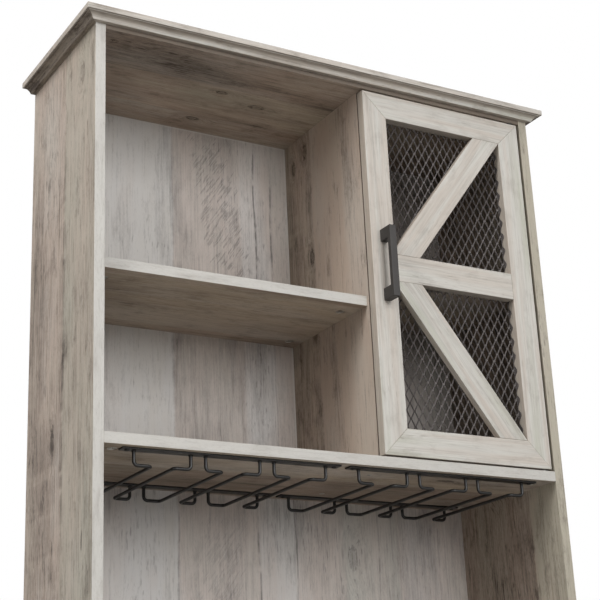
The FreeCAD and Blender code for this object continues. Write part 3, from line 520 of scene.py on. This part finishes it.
def board_wood(name, settings, run, seed):
    """Weathered grey wood: strips and smears, cracks, knots, saw marks and a pale front edge, with
    painted shade on some boards.
    """
    finish = Finish(name)
    board = grain_space(finish, run.turn)
    parts = finish.parts(board)
    across, along = parts[run.broad_axis], parts[2]
    grain = finish.moved(board, seeded(seed))
    rough = finish.clouds(grain, 210, 90, 3, 0.65)
    near_knot, eye = knots(across, along, rough, KNOTS.get(name, ()))
    bent = finish.moved(grain, finish.joined(near_knot * 0.01, near_knot * 0.01))

    # Grain from broad smears to fine specks
    smear, mottle, blotch, narrow, hair, speck = (finish.clouds(bent, *layer)
                                                  for layer in BOARD_GRAIN.values())
    patch = finish.clouds(grain, 9, 3)
    cloud = finish.clouds(grain, 5, 2.2)
    dashes = finish.clouds(bent, 360, 46, 1).rise(0.6, 0.7) * patch.rise(0.5, 0.64)

    # Strips of uneven width, each with its own tone, that drifts along the board
    strip = across / settings.strip_wide + (mottle - 0.5) * 0.12 + seed * 0.37
    strip = strip + (strip * 2.3).sine() * 0.3
    index = strip.floor()
    inside = strip - index
    drift = finish.clouds(bent, 11, 2.8, 4, 0.6)
    tone = finish.random(index + seed * 17) * 0.5 + drift * 0.8 - 0.15
    border = inside.least(1 - inside).rise(0.03, 0.008)
    joint = border * finish.noise(finish.joined(index * 3.7, along * 5), 3).rise(0.5, 0.62)

    shaded = finish.random(index * 1.7 + seed * 5 + 0.5).rise(0.45, 0.95) * 0.2
    # Planks set the tone and darkness of their strips; on some boards that darkness is painted
    # shade
    for start, plank_tone, plank_shade in PLANKS.get(name, ()):
        beyond = (across + (blotch - 0.5) * 0.008).rise(start - 0.004, start + 0.004)
        tone = tone + (drift * 0.5 + (plank_tone - 0.25) - tone) * beyond
        shaded = shaded + (plank_shade - shaded) * beyond
    tones = finish.ramp(tone, ((0.16, settings.moss), (0.36, settings.rose), (0.52, settings.mist),
                               (0.68, settings.sand), (0.84, settings.mist)))
    streaks = (mottle.rise(0.46, 0.8) * 0.22 + narrow.rise(0.44, 0.75) * 0.22
               + hair.rise(0.42, 0.64) * 0.22 + speck.rise(0.45, 0.75) * 0.16
               + dashes * 0.4 + joint * 0.4)
    dark = (smear.rise(0.46, 0.76) * 0.42 + blotch.rise(0.5, 0.74) * run.blotches
            + streaks * run.streaks + shaded + cloud.rise(0.5, 0.32) * 0.2
            + near_knot * 0.12 + eye * 0.55
            + cracks(finish, across, along, mottle, CRACKS.get(name, ()))
            + saw_marks(finish, across, along, SAW_MARKS.get(name, ())))
    # The run's added darkness: painted shade on the lying boards and the side mouldings
    dark = (dark + run.darker).most(0).least(1)
    pale = narrow.rise(0.48, 0.26) * 0.3 + cloud.rise(0.52, 0.7) * 0.45
    colour = finish.mixed(pale, tones, settings.edging)
    colour = finish.mixed(dark, colour, settings.dark_grain)
    colour = finish.mixed(run.warm, colour, settings.warm, "MULTIPLY")
    colour = finish.mixed(run.haze, colour, settings.haze)
    # Thin pale lines painted on the face at the listed places
    for place_across, place_along in PALE_LINES.get(name, ()):
        line = across.near(place_across, 0.0018).most(along.near(place_along, 0.0016))
        colour = finish.mixed(line * 0.7, colour, settings.edging)

    if name not in PLAIN_EDGES:
        front = finish.outward()[1].rise(-0.6, -0.85)
        first, second = settings.edging, settings.edging_fleck
        # Front edges in shadow behind the crown and the doors are painted dark as shade, without
        # the pale edging
        if name in EDGES_PAINTED_IN_SHADE:
            first, second = settings.painted_edge_shade, settings.dark_grain
        band = finish.mixed(mottle.rise(0.45, 0.8) * 0.5 + narrow.rise(0.5, 0.8) * 0.35
                            + speck.rise(0.5, 0.75) * 0.25, first, second)
        colour = finish.mixed(front, colour, band)
    return finish.surface(colour, 0.5 + dark * 0.25, 1 - dark, 0.0003)


def door_wood(name, settings, turn, seed, worn=1):
    """Pale wood of the doors and the crown: soft tones, a fine grain along each member, and painted
    shade where faces look down.
    """
    finish = Finish(name)
    grain = finish.moved(grain_space(finish, turn), seeded(seed))
    u, v, along = finish.parts(grain)
    across = u + v
    strip = across / settings.door_strip_wide + finish.clouds(grain, 8, 4, 1) * 0.6
    tone = finish.noise(finish.joined(strip, along * 2.2), 2)
    tones = finish.ramp(tone, ((0.3, settings.door_moss), (0.46, settings.door_light),
                               (0.6, settings.door_rose), (0.75, settings.door_light)))
    broad, narrow, hair, patch, dashes, blotch = (finish.clouds(grain, *layer)
                                                  for layer in DOOR_GRAIN.values())
    dark = (broad.rise(0.45, 0.8) * 0.3 + narrow.rise(0.44, 0.75) * 0.3
            + hair.rise(0.46, 0.75) * 0.2 + blotch.rise(0.48, 0.75) * 0.3
            + dashes.rise(0.62, 0.72) * patch.rise(0.5, 0.64) * 0.5) * worn
    outward = finish.outward()
    aside = outward[1].rise(-0.85, -0.4)
    # Painted shade: faces that look down, such as the crown's and the rails' undersides, are
    # darkened towards the grain colour
    below = outward[2].rise(-0.75, -0.97)
    colour = finish.mixed(aside * 0.55, tones, settings.door_side)
    colour = finish.mixed((dark + below * 0.55).least(1), colour, settings.door_grain)
    return finish.surface(colour, 0.5 + dark * 0.2, 1 - dark, 0.0002)


def dowel_wood(name, settings):
    """Raw beech with short rays."""
    finish = Finish(name)
    grain = finish.place()
    rays = finish.noise(finish.scaled(grain, (260, 900, 900)), 3, 0.6)
    colour = finish.mixed(rays.rise(0.4, 0.75) * 0.35, settings.beech, settings.dark_grain)
    return finish.surface(colour, 0.6 + rays * 0.1, rays, 0.0001)


def coated_metal(name, coat, roughness, relief, sheen):
    """Powder coat: a fine orange peel, worn a little lighter in places."""
    finish = Finish(name)
    place = finish.place()
    peel = finish.clouds(place, 700, 700)
    wear = finish.clouds(place, 38, 38, 4, 0.65)
    colour = finish.mixed(wear.rise(0.5, 0.75) * 0.5, coat, toned(coat, 1.7, 0.008))
    return finish.surface(colour, roughness + wear * 0.16, peel, relief,
                          {"Specular IOR Level": sheen})


def plated_metal(name, plating):
    """Zinc plating with a drawn grain and dull spots."""
    finish = Finish(name)
    place = finish.place()
    drawn = finish.clouds(place, 300, 1500, 3, 0.6)
    spots = finish.clouds(place, 160, 160, 3, 0.6)
    colour = finish.mixed(spots.rise(0.45, 0.75), plating, toned(plating, 0.6))
    return finish.surface(colour, 0.28 + spots * 0.3, drawn, 0.00006, {"Metallic": 1.0})


def moulded_plastic(name, plastic):
    """Nylon with a fine moulded texture."""
    finish = Finish(name)
    place = finish.place()
    grit = finish.clouds(place, 900, 900, 2, 0.6)
    cloud = finish.clouds(place, 60, 60)
    colour = finish.mixed(cloud.rise(0.4, 0.7), plastic, toned(plastic, 1.5, 0.01))
    return finish.surface(colour, 0.42 + grit * 0.15, grit, 0.00008)


def added(name, data):
    """A new object in the scene."""
    piece = bpy.data.objects.new(name, data)
    bpy.context.scene.collection.objects.link(piece)
    return piece


def dress(piece, material):
    """Gives a piece its only material."""
    slots = piece.data.materials
    if not slots:
        slots.append(material)
    for index in range(len(slots)):
        slots[index] = material


def soften(piece, width):
    """Rounds the edges of a CAD node, whose own mesh stays as it is."""
    weld = piece.modifiers.new("Joined faces", "WELD")
    weld.merge_threshold = WELD_REACH
    flat = piece.modifiers.new("Whole flats", "DECIMATE")
    flat.decimate_type = "DISSOLVE"
    flat.angle_limit = FLAT_ANGLE
    bevel = piece.modifiers.new("Soft edges", "BEVEL")
    bevel.width = width
    bevel.segments = ROUNDING_STEPS
    bevel.limit_method = "ANGLE"
    bevel.angle_limit = CORNER_ANGLE
    bevel.use_clamp_overlap = False
    piece.modifiers.new("Even light", "WEIGHTED_NORMAL")


def finish_node(name, material, edge_round=0.0):
    """Gives a CAD node its only material, and rounds its edges where a radius is given."""
    dress(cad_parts[name], material)
    if edge_round:
        soften(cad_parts[name], edge_round)


def lean(node):
    """How far a brace leans from the upright, from the middles of its two ends."""
    low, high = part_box(node)
    points = [vertex.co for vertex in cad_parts[node].data.vertices]
    ends = []
    for level in (low.z, high.z):
        across = [point.x for point in points if abs(point.z - level) < MILLIMETRE]
        ends.append((min(across) + max(across)) / 2)
    return math.atan2(ends[1] - ends[0], high.z - low.z)


def solids_of(node):
    """The corners of each separate solid of a CAD node, with its points, from left to right."""
    work = bmesh.new()
    work.from_mesh(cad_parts[node].data)
    bmesh.ops.remove_doubles(work, verts=work.verts, dist=WELD_REACH)
    work.verts.ensure_lookup_table()
    seen = set()
    solids = []
    for first in work.verts:
        if first.index in seen:
            continue
        seen.add(first.index)
        queue = [first]
        for vertex in queue:
            for edge in vertex.link_edges:
                other = edge.other_vert(vertex)
                if other.index not in seen:
                    seen.add(other.index)
                    queue.append(other)
        points = [vertex.co.copy() for vertex in queue]
        low = Vector(min(point[axis] for point in points) for axis in range(3))
        high = Vector(max(point[axis] for point in points) for axis in range(3))
        solids.append((low, high, points))
    work.free()
    return sorted(solids, key=lambda solid: tuple(solid[0]))


def row_of(work, corners):
    """A row of new points."""
    return [work.verts.new(corner) for corner in corners]


def ring(work, centre, radius, height, count):
    """A ring of points around the Z axis."""
    return row_of(work, ((centre.x + radius * math.cos(2 * math.pi * step / count),
                          centre.y + radius * math.sin(2 * math.pi * step / count),
                          centre.z + height) for step in range(count)))


def bridge(work, first, second):
    """Faces between two closed rows of points."""
    for step in range(len(first)):
        after = (step + 1) % len(first)
        work.faces.new((first[step], first[after], second[after], second[step]))


def loft(work, rows, closed_ends=(0, -1)):
    """Faces between closed rows of points, one after the other, and over the closed ends."""
    for first, second in zip(rows, rows[1:]):
        bridge(work, first, second)
    for end in closed_ends:
        work.faces.new(rows[end])


def turned(work, profile, count=TURNED_SIDES):
    """A piece turned around the Z axis from its (radius, height) profile. Gives its last ring."""
    rings = [ring(work, Vector(), radius, height, count) for radius, height in profile]
    loft(work, rings, (0,))
    return rings[-1]


def cross_recess(work, rim, face_height, reach, half_wide, depth):
    """Closes a turned piece's last ring with a face that has a cross-shaped recess."""
    outline = []
    for quarter in range(4):
        turn = Matrix.Rotation(quarter * math.pi / 2, 2)
        for corner in (Vector((reach, -half_wide)), Vector((reach, half_wide)),
                       Vector((half_wide, half_wide))):
            outline.append(turn @ corner)
    top = row_of(work, ((*corner, face_height) for corner in outline))
    floor = row_of(work, ((*(corner * 0.6), face_height - depth) for corner in outline))
    loops = []
    for row in (rim, top):
        for step, vertex in enumerate(row):
            after = row[(step + 1) % len(row)]
            loops.append(work.edges.get((vertex, after)) or work.edges.new((vertex, after)))
    bmesh.ops.triangle_fill(work, use_beauty=True, edges=loops)
    bridge(work, top, floor)
    work.faces.new(floor)


def finished_mesh(work, name, smooth=False):
    """Turns the working mesh into a mesh of its own, with its faces looking outwards."""
    bmesh.ops.recalc_face_normals(work, faces=work.faces)
    mesh = bpy.data.meshes.new(name)
    work.to_mesh(mesh)
    work.free()
    for polygon in mesh.polygons:
        polygon.use_smooth = smooth
    return mesh


def add_piece(work, name, body, material, replaced=(), smooth=False):
    """A new piece that rides on a body and may stand for CAD nodes."""
    piece = added(name, finished_mesh(work, name, smooth))
    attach(piece, body)
    if replaced:
        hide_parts(*replaced)
    dress(piece, material)
    return piece


def placed_copies(template, places):
    """One working mesh with a copy of the template at each place. The template is used up."""
    mesh = finished_mesh(template, "template")
    work = bmesh.new()
    for place in places:
        before = len(work.verts)
        work.from_mesh(mesh)
        work.verts.ensure_lookup_table()
        bmesh.ops.transform(work, matrix=place, verts=work.verts[before:])
    bpy.data.meshes.remove(mesh)
    return work


def facing(axis, way):
    """The turn that points a piece's Z axis along an axis, forwards or backwards."""
    direction = Vector()
    direction[axis] = way
    return direction.to_track_quat("Z", "Y").to_matrix().to_4x4()


def heads(node, axis):
    """Each screw of a node: middle of its head's face, way out, and radius, rise and length."""
    found = []
    for low, high, points in solids_of(node):
        middle = (low + high) / 2
        side = (axis + 1) % 3
        wide = (high[side] - low[side]) / 2
        rim = [point[axis] for point in points if abs(point[side] - middle[side]) > wide * 0.9]
        way = 1 if sum(rim) / len(rim) > middle[axis] else -1
        face = Vector(middle)
        face[axis] = high[axis] if way > 0 else low[axis]
        found.append((face, way, (wide, max(rim) - min(rim), high[axis] - low[axis])))
    return found


def screw_template(head_radius, head_rise, length, domed):
    """A cross-head screw that looks along +Z from its head's face, with a ribbed shank."""
    work = bmesh.new()
    shank_radius = head_radius * SHANK_SHARE
    profile = [(shank_radius * 0.2, -length)]
    pitch = (length - head_rise - 2 * shank_radius) / SCREW_RIBS
    for rib in range(SCREW_RIBS):
        level = -length + shank_radius + pitch * rib
        profile += [(shank_radius * 0.8, level), (shank_radius, level + pitch / 2)]
    profile += [(shank_radius * 0.8, -head_rise),
                (head_radius if domed else shank_radius, -head_rise)]
    if domed:
        profile += [(head_radius, -head_rise * 0.45), (head_radius * 0.86, -head_rise * 0.12)]
    else:
        profile += [(head_radius, -head_rise * 0.2)]
    profile.append((head_radius * (0.66 if domed else 0.94), 0))
    rim = turned(work, profile)
    cross_recess(work, rim, 0, head_radius * 0.55, head_radius * 0.13, head_rise * 0.8)
    return work


class CABINET_OT_stage(bpy.types.Operator):
    """Sets the camera, the floor, the lamps and the white surroundings"""

    bl_idname = "cabinet.stage"
    bl_label = "Stage"

    def execute(self, context):
        settings = context.scene.cabinet_stage
        self.set_camera(context, settings)
        self.set_floor(settings)
        self.set_lamps(settings)
        self.set_world(context, settings)
        context.scene.view_settings.view_transform = "Standard"
        return {"FINISHED"}

    def set_camera(self, context, settings):
        data = bpy.data.cameras.new("Camera")
        data.sensor_width = SENSOR_WIDE
        data.lens = settings.camera_lens
        data.shift_y = settings.camera_shift
        data.clip_end = FAR_CLIP
        camera = added("Camera", data)
        turn = Euler(settings.camera_turn)
        camera.matrix_world = Matrix.LocRotScale(settings.camera_place, turn, None)
        context.scene.camera = camera

    def set_floor(self, settings):
        work = bmesh.new()
        bmesh.ops.create_grid(work, x_segments=8, y_segments=8, size=settings.floor_wide / 2)
        bmesh.ops.translate(work, verts=work.verts, vec=(0, 0, CAD_BOX[0].z))
        floor = added("floor", finished_mesh(work, "floor"))
        dress(floor, self.floor_paint(settings))

    def floor_paint(self, settings):
        """Pale paint that the camera sees fade to white away from the cabinet."""
        finish = Finish("floor_paint")
        place = finish.place()
        x, y = finish.parts(place)[:2]
        cloud = finish.clouds(place, 3, 3, 3)
        seen = finish.node("ShaderNodeLightPath", out="Is Camera Ray")
        colour = finish.mixed(cloud, settings.floor, toned(settings.floor, 1.03))
        colour = finish.mixed(seen * 0.8, colour, (1, 1, 1))
        away = (x * x + y * y).rise(FADE_START, FADE_END)
        white = finish.light("ShaderNodeEmission", 1)
        paint = finish.shader(colour, 0.6 + cloud * 0.1, cloud, 0.0002)
        finish.blend("ShaderNodeOutputMaterial", seen * away, paint, white)
        return finish.material

    def set_lamps(self, settings):
        middle = Vector((0, 0, (CAD_BOX[0].z + CAD_BOX[1].z) * LAMP_AIM))
        for name, (place, side, power) in LAMPS.items():
            data = bpy.data.lights.new(name, "AREA")
            data.shape = "SQUARE"
            data.size = side
            data.energy = getattr(settings, power)
            lamp = added(name, data)
            aim = (Vector(place) - middle).to_track_quat("Z", "Y")
            lamp.matrix_world = Matrix.LocRotScale(Vector(place), aim, None)

    def set_world(self, context, settings):
        world = bpy.data.worlds.new("surroundings")
        context.scene.world = world
        world.use_nodes = True
        finish = Finish("surroundings", world.node_tree)
        light = finish.light("ShaderNodeBackground", settings.sky)
        white = finish.light("ShaderNodeBackground", 1)
        seen = 0.0
        if settings.show_background:
            rays = [finish.node("ShaderNodeLightPath", out=name)
                    for name in ("Is Camera Ray", "Is Glossy Ray", "Is Transmission Ray")]
            seen = rays[0].most(rays[1]).most(rays[2])
        finish.blend("ShaderNodeOutputWorld", seen, light, white)


class CABINET_OT_carcass(bpy.types.Operator):
    """Finishes panels, shelves, dividers, backs and side mouldings in weathered wood"""

    bl_idname = "cabinet.carcass"
    bl_label = "Carcass boards"

    def execute(self, context):
        wood = context.scene.cabinet_wood
        boards = [(name, run) for run in RUNS for name in run.boards]
        for seed, (name, run) in enumerate(boards, start=1):
            finish_node(name, board_wood(name, wood, run, seed), wood.edge_round)
        return {"FINISHED"}


class CABINET_OT_crown(bpy.types.Operator):
    """Finishes the crown board and the cove moulding at the front in pale wood"""

    bl_idname = "cabinet.crown"
    bl_label = "Crown"

    def execute(self, context):
        wood = context.scene.cabinet_wood
        for seed, name in enumerate(CROWN_FRONT, start=CROWN_SEED):
            pale = door_wood(name + "_wood", wood, GRAIN_ALONG_X, seed, CROWN_WEAR)
            finish_node(name, pale, wood.edge_round)
        return {"FINISHED"}


class CABINET_OT_doors(bpy.types.Operator):
    """Finishes the door frames and braces in pale wood, with the grain along each member"""

    bl_idname = "cabinet.doors"
    bl_label = "Door frames and braces"

    def execute(self, context):
        wood = context.scene.cabinet_wood
        members = ["%s_%s" % (door, part) for door in DOORS for part in DOOR_MEMBERS]
        for seed, name in enumerate(members, start=DOOR_SEED):
            turn = GRAIN_UP if "_stile_" in name else GRAIN_ALONG_X
            if "_brace_" in name:
                turn = (0, -lean(name), 0)
            finish_node(name, door_wood(name + "_wood", wood, turn, seed), wood.door_edge_round)
        return {"FINISHED"}


class CABINET_OT_nets(bpy.types.Operator):
    """Builds the expanded metal nets of the doors, strand by strand"""

    bl_idname = "cabinet.nets"
    bl_label = "Door nets"

    def execute(self, context):
        metal = context.scene.cabinet_metal
        coat = coated_metal("net_coat", metal.net, 0.42, 0.00008, 0.4)
        for door in DOORS:
            work = bmesh.new()
            rail_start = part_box(door + "_rail_middle")[0].x
            for low, high, _ in solids_of(door + "_mesh"):
                lap = rail_start - low.x
                self.add_border(work, metal, low, high)
                self.add_strands(work, metal, low, high, lap)
                self.add_selvedge(work, metal, low, high, lap, low.x + lap, 1)
                self.add_selvedge(work, metal, low, high, lap, high.x - lap, -1)
            add_piece(work, door + "_net", door, coat, (door + "_mesh",))
        return {"FINISHED"}

    def add_border(self, work, metal, low, high):
        """The flat rim of a net: four strips, mitred at the corners."""
        inset = metal.net_border
        thick = metal.strand_thick
        front = low.y + NET_SETBACK
        rows = []
        for y in (front, front + thick):
            for step in (0, inset):
                left, right = low.x + step, high.x - step
                foot, top = low.z + step, high.z - step
                rows.append(row_of(work, ((left, y, foot), (right, y, foot), (right, y, top),
                                          (left, y, top))))
        for first, second in ((0, 1), (1, 3), (3, 2), (2, 0)):
            bridge(work, rows[first], rows[second])

    def add_selvedge(self, work, metal, low, high, lap, edge, way):
        """The wavy cut edge of a net that stands against a stile."""
        cell = (high.z - low.z - 2 * metal.net_border) / metal.net_rows
        steps = int((high.z - low.z - 2 * lap) / cell * WAVE_STEPS)
        inner = edge + way * WAVE_GAP
        outer = inner + way * metal.strand_thick
        back = low.y + metal.strand_thick
        rows = []
        for step in range(steps + 1):
            z = low.z + lap + (high.z - low.z - 2 * lap) * step / steps
            wave = math.sin(2 * math.pi * (z - low.z) / cell)
            front = low.y - metal.selvedge_reach * (WAVE_MIDDLE + WAVE_SWING * wave)
            rows.append(row_of(work, ((inner, front, z), (outer, front, z), (outer, back, z),
                                      (inner, back, z))))
        loft(work, rows)

    def add_strands(self, work, metal, low, high, lap):
        """The strands between the rims, each a tilted ribbon between two bonds."""
        columns, rows = 2 * metal.net_columns, 2 * metal.net_rows
        start = low + Vector((metal.net_border, 0, metal.net_border))
        cell_x = (high.x - low.x - 2 * metal.net_border) / columns
        cell_z = (high.z - low.z - 2 * metal.net_border) / rows
        bond_parity = (columns // 2 + rows // 2 + 1) % 2
        for column in range(columns):
            for row in range(rows):
                rising = (column + row) % 2 == bond_parity
                foot = start + Vector((cell_x * column, 0, cell_z * (row if rising else row + 1)))
                up = cell_z if rising else -cell_z
                self.add_strand(work, metal, foot, cell_x, up, low, high, lap)

    def add_strand(self, work, metal, foot, across, up, low, high, lap):
        """One strand from the front of its left bond to the back of its right one."""
        wide, thick = metal.strand_wide, metal.strand_thick
        behind_frame = low.y + NET_SETBACK + thick / 2
        rows = []
        for share in STRAND_POINTS:
            run = min(1, max(0, (share - BOND) / (1 - 2 * BOND)))
            x = foot.x + across * run
            z = foot.z + up * share
            edge = min(x - low.x, high.x - x, z - low.z, high.z - z) - lap
            free = min(1, max(0, edge / wide + 0.2))
            tilt = metal.strand_tilt * free
            plate = Vector((math.cos(tilt), -math.sin(tilt), 0))
            depth = behind_frame - metal.net_forward * free
            middle = Vector((x, depth, z)) + plate * (wide / 2) * (1 - 2 * run)
            path = Vector((across, 0, up)).normalized() if 0 < run < 1 else Vector((0, 0, 1))
            flat = (plate - path * plate.dot(path)).normalized()
            through = path.cross(flat).normalized()
            rows.append(row_of(work, (middle + flat * (wide / 2 * a) + through * (thick / 2 * b)
                                      for a, b in ((-1, -1), (1, -1), (1, 1), (-1, 1)))))
        loft(work, rows)


class CABINET_OT_racks(bpy.types.Operator):
    """Coats the stemware racks and adds the weld beads where the wires meet the bars"""

    bl_idname = "cabinet.racks"
    bl_label = "Stemware racks"

    def execute(self, context):
        metal = context.scene.cabinet_metal
        coat = coated_metal("rack_coat", metal.rack, 0.3, 0.00006, 0.5)
        for rack in RACKS:
            finish_node(rack + "_bars", coat, SMALL_ROUND)
            finish_node(rack + "_wires", coat)
            work = bmesh.new()
            for low, high, points in solids_of(rack + "_wires"):
                feet = [point for point in points if high.z - point.z < WELD_REACH]
                for end in (low.y, high.y):
                    near = [point for point in feet if abs(point.y - end) < (high.y - low.y) / 2]
                    middle = sum(near, Vector()) / len(near)
                    radius = max((point - middle).length for point in near)
                    self.add_bead(work, metal, middle, radius)
            add_piece(work, rack + "_welds", "cabinet", coat, smooth=True)
        return {"FINISHED"}

    def add_bead(self, work, metal, top, radius):
        """A bead that swells around a wire under the bar."""
        swell = metal.weld_swell
        loft(work, [ring(work, top, radius + swell * wider, -swell * lower, BEAD_SIDES)
                    for wider, lower in BEAD_PROFILE])


class CABINET_OT_handles(bpy.types.Operator):
    """Coats the door handles and softens their edges"""

    bl_idname = "cabinet.handles"
    bl_label = "Door handles"

    def execute(self, context):
        metal = context.scene.cabinet_metal
        coat = coated_metal("handle_coat", metal.handle, 0.46, 0.0001, 0.45)
        for door in DOORS:
            finish_node(door + "_handle", coat, metal.bar_edge_round)
        return {"FINISHED"}


class CABINET_OT_fittings(bpy.types.Operator):
    """Builds the cams and screws with their recesses, and finishes the small hardware"""

    bl_idname = "cabinet.fittings"
    bl_label = "Cams, screws and small hardware"

    def execute(self, context):
        metal = context.scene.cabinet_metal
        self.zinc = plated_metal("zinc_plate", metal.zinc)
        self.add_cams(metal)
        self.add_screws("small_screws", "rack_screws", 2, "cabinet", True,
                        coated_metal("screw_coat", metal.rack, 0.3, 0.00004, 0.5))
        self.add_screws("divider_screws", "board_screws", 2, "cabinet", False, self.zinc)
        for door in DOORS:
            self.add_screws(door + "_handle_screws", door + "_bar_screws", 1, door, True, self.zinc)
        nylon = moulded_plastic("nylon", metal.nylon)
        for name in ("glides", "door_bushes"):
            finish_node(name, nylon)
        plated = ["cam_bolts", "shelf_pins", "back_nails", "catch_magnets"]
        plated += ["%s_%s" % (door, part) for door in DOORS
                   for part in ("staples", "pivot_pins", "strike")]
        for name in plated:
            finish_node(name, self.zinc)
        finish_node("wall_bracket", self.zinc, SMALL_ROUND)
        finish_node("dowels", dowel_wood("dowel_wood", context.scene.cabinet_wood))
        return {"FINISHED"}

    def add_cams(self, metal):
        """Cam locks that look down out of their bores, each with a cross recess."""
        locks = solids_of("cam_locks")
        low, high = locks[0][:2]
        radius = (high.x - low.x) / 2
        rise = high.z - low.z - metal.cam_recess
        work = bmesh.new()
        rim = turned(work, ((radius * 0.96, -rise), (radius, -rise * 0.95), (radius, -CAM_STEP),
                            (radius * 0.95, 0), (radius * 0.82, 0), (radius * 0.78, -CAM_STEP)),
                     CAM_SIDES)
        cross_recess(work, rim, -CAM_STEP, radius * 0.55, radius * 0.12, rise * 0.3)
        places = [Matrix.Translation(((low.x + high.x) / 2, (low.y + high.y) / 2,
                                      low.z + metal.cam_recess)) @ facing(2, -1)
                  for low, high, _ in locks]
        cams = add_piece(placed_copies(work, places), "cam_faces", "cabinet",
                         self.zinc, ("cam_locks",))
        # The cams under the top board have printed covers
        cams.data.materials.append(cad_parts["top_panel"].data.materials[0])
        under_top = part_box("top_panel")[0].z
        for face in cams.data.polygons:
            face.material_index = int(face.center.z > under_top)

    def add_screws(self, node, name, axis, body, domed, finish):
        """Cross-head screws in place of a node's plain ones."""
        found = heads(node, axis)
        places = [Matrix.Translation(face) @ facing(axis, way) for face, way, sizes in found]
        work = placed_copies(screw_template(*found[-1][2], domed), places)
        add_piece(work, name, body, finish, (node,))


class CABINET_PT_panel(bpy.types.Panel):
    """Lists the groups of the cabinet's pieces and what can be set for them"""

    bl_idname = "CABINET_PT_panel"
    bl_label = "Bar cabinet"
    bl_space_type = "VIEW_3D"
    bl_region_type = "UI"
    bl_category = "Cabinet"

    def draw(self, context):
        for operator in OPERATORS:
            self.layout.operator(operator.bl_idname)
        for key in GROUPS:
            group = getattr(context.scene, key)
            box = self.layout.box()
            box.label(text=key.split("_")[1].title())
            for name in group.bl_rna.properties.keys():
                if name not in ("rna_type", "name"):
                    box.prop(group, name)


OPERATORS = (CABINET_OT_stage, CABINET_OT_carcass, CABINET_OT_crown, CABINET_OT_doors,
             CABINET_OT_nets, CABINET_OT_racks, CABINET_OT_handles, CABINET_OT_fittings)
GROUPS = {"cabinet_wood": WoodSettings, "cabinet_metal": MetalSettings,
          "cabinet_stage": StageSettings}
CLASSES = (*GROUPS.values(), *OPERATORS, CABINET_PT_panel)


def register():
    """Registers the classes and puts the settings on the scene."""
    for item in CLASSES:
        bpy.utils.register_class(item)
    for name, group in GROUPS.items():
        setattr(bpy.types.Scene, name, PointerProperty(type=group))


def unregister():
    """Takes the settings off the scene and unregisters the classes."""
    for name in GROUPS:
        delattr(bpy.types.Scene, name)
    for item in reversed(CLASSES):
        bpy.utils.unregister_class(item)


def main():
    """Dresses the cabinet."""
    register()
    bpy.ops.cabinet.stage()
    bpy.ops.cabinet.carcass()
    bpy.ops.cabinet.crown()
    bpy.ops.cabinet.doors()
    bpy.ops.cabinet.nets()
    bpy.ops.cabinet.racks()
    bpy.ops.cabinet.handles()
    bpy.ops.cabinet.fittings()


if __name__ == "__main__":
    main()
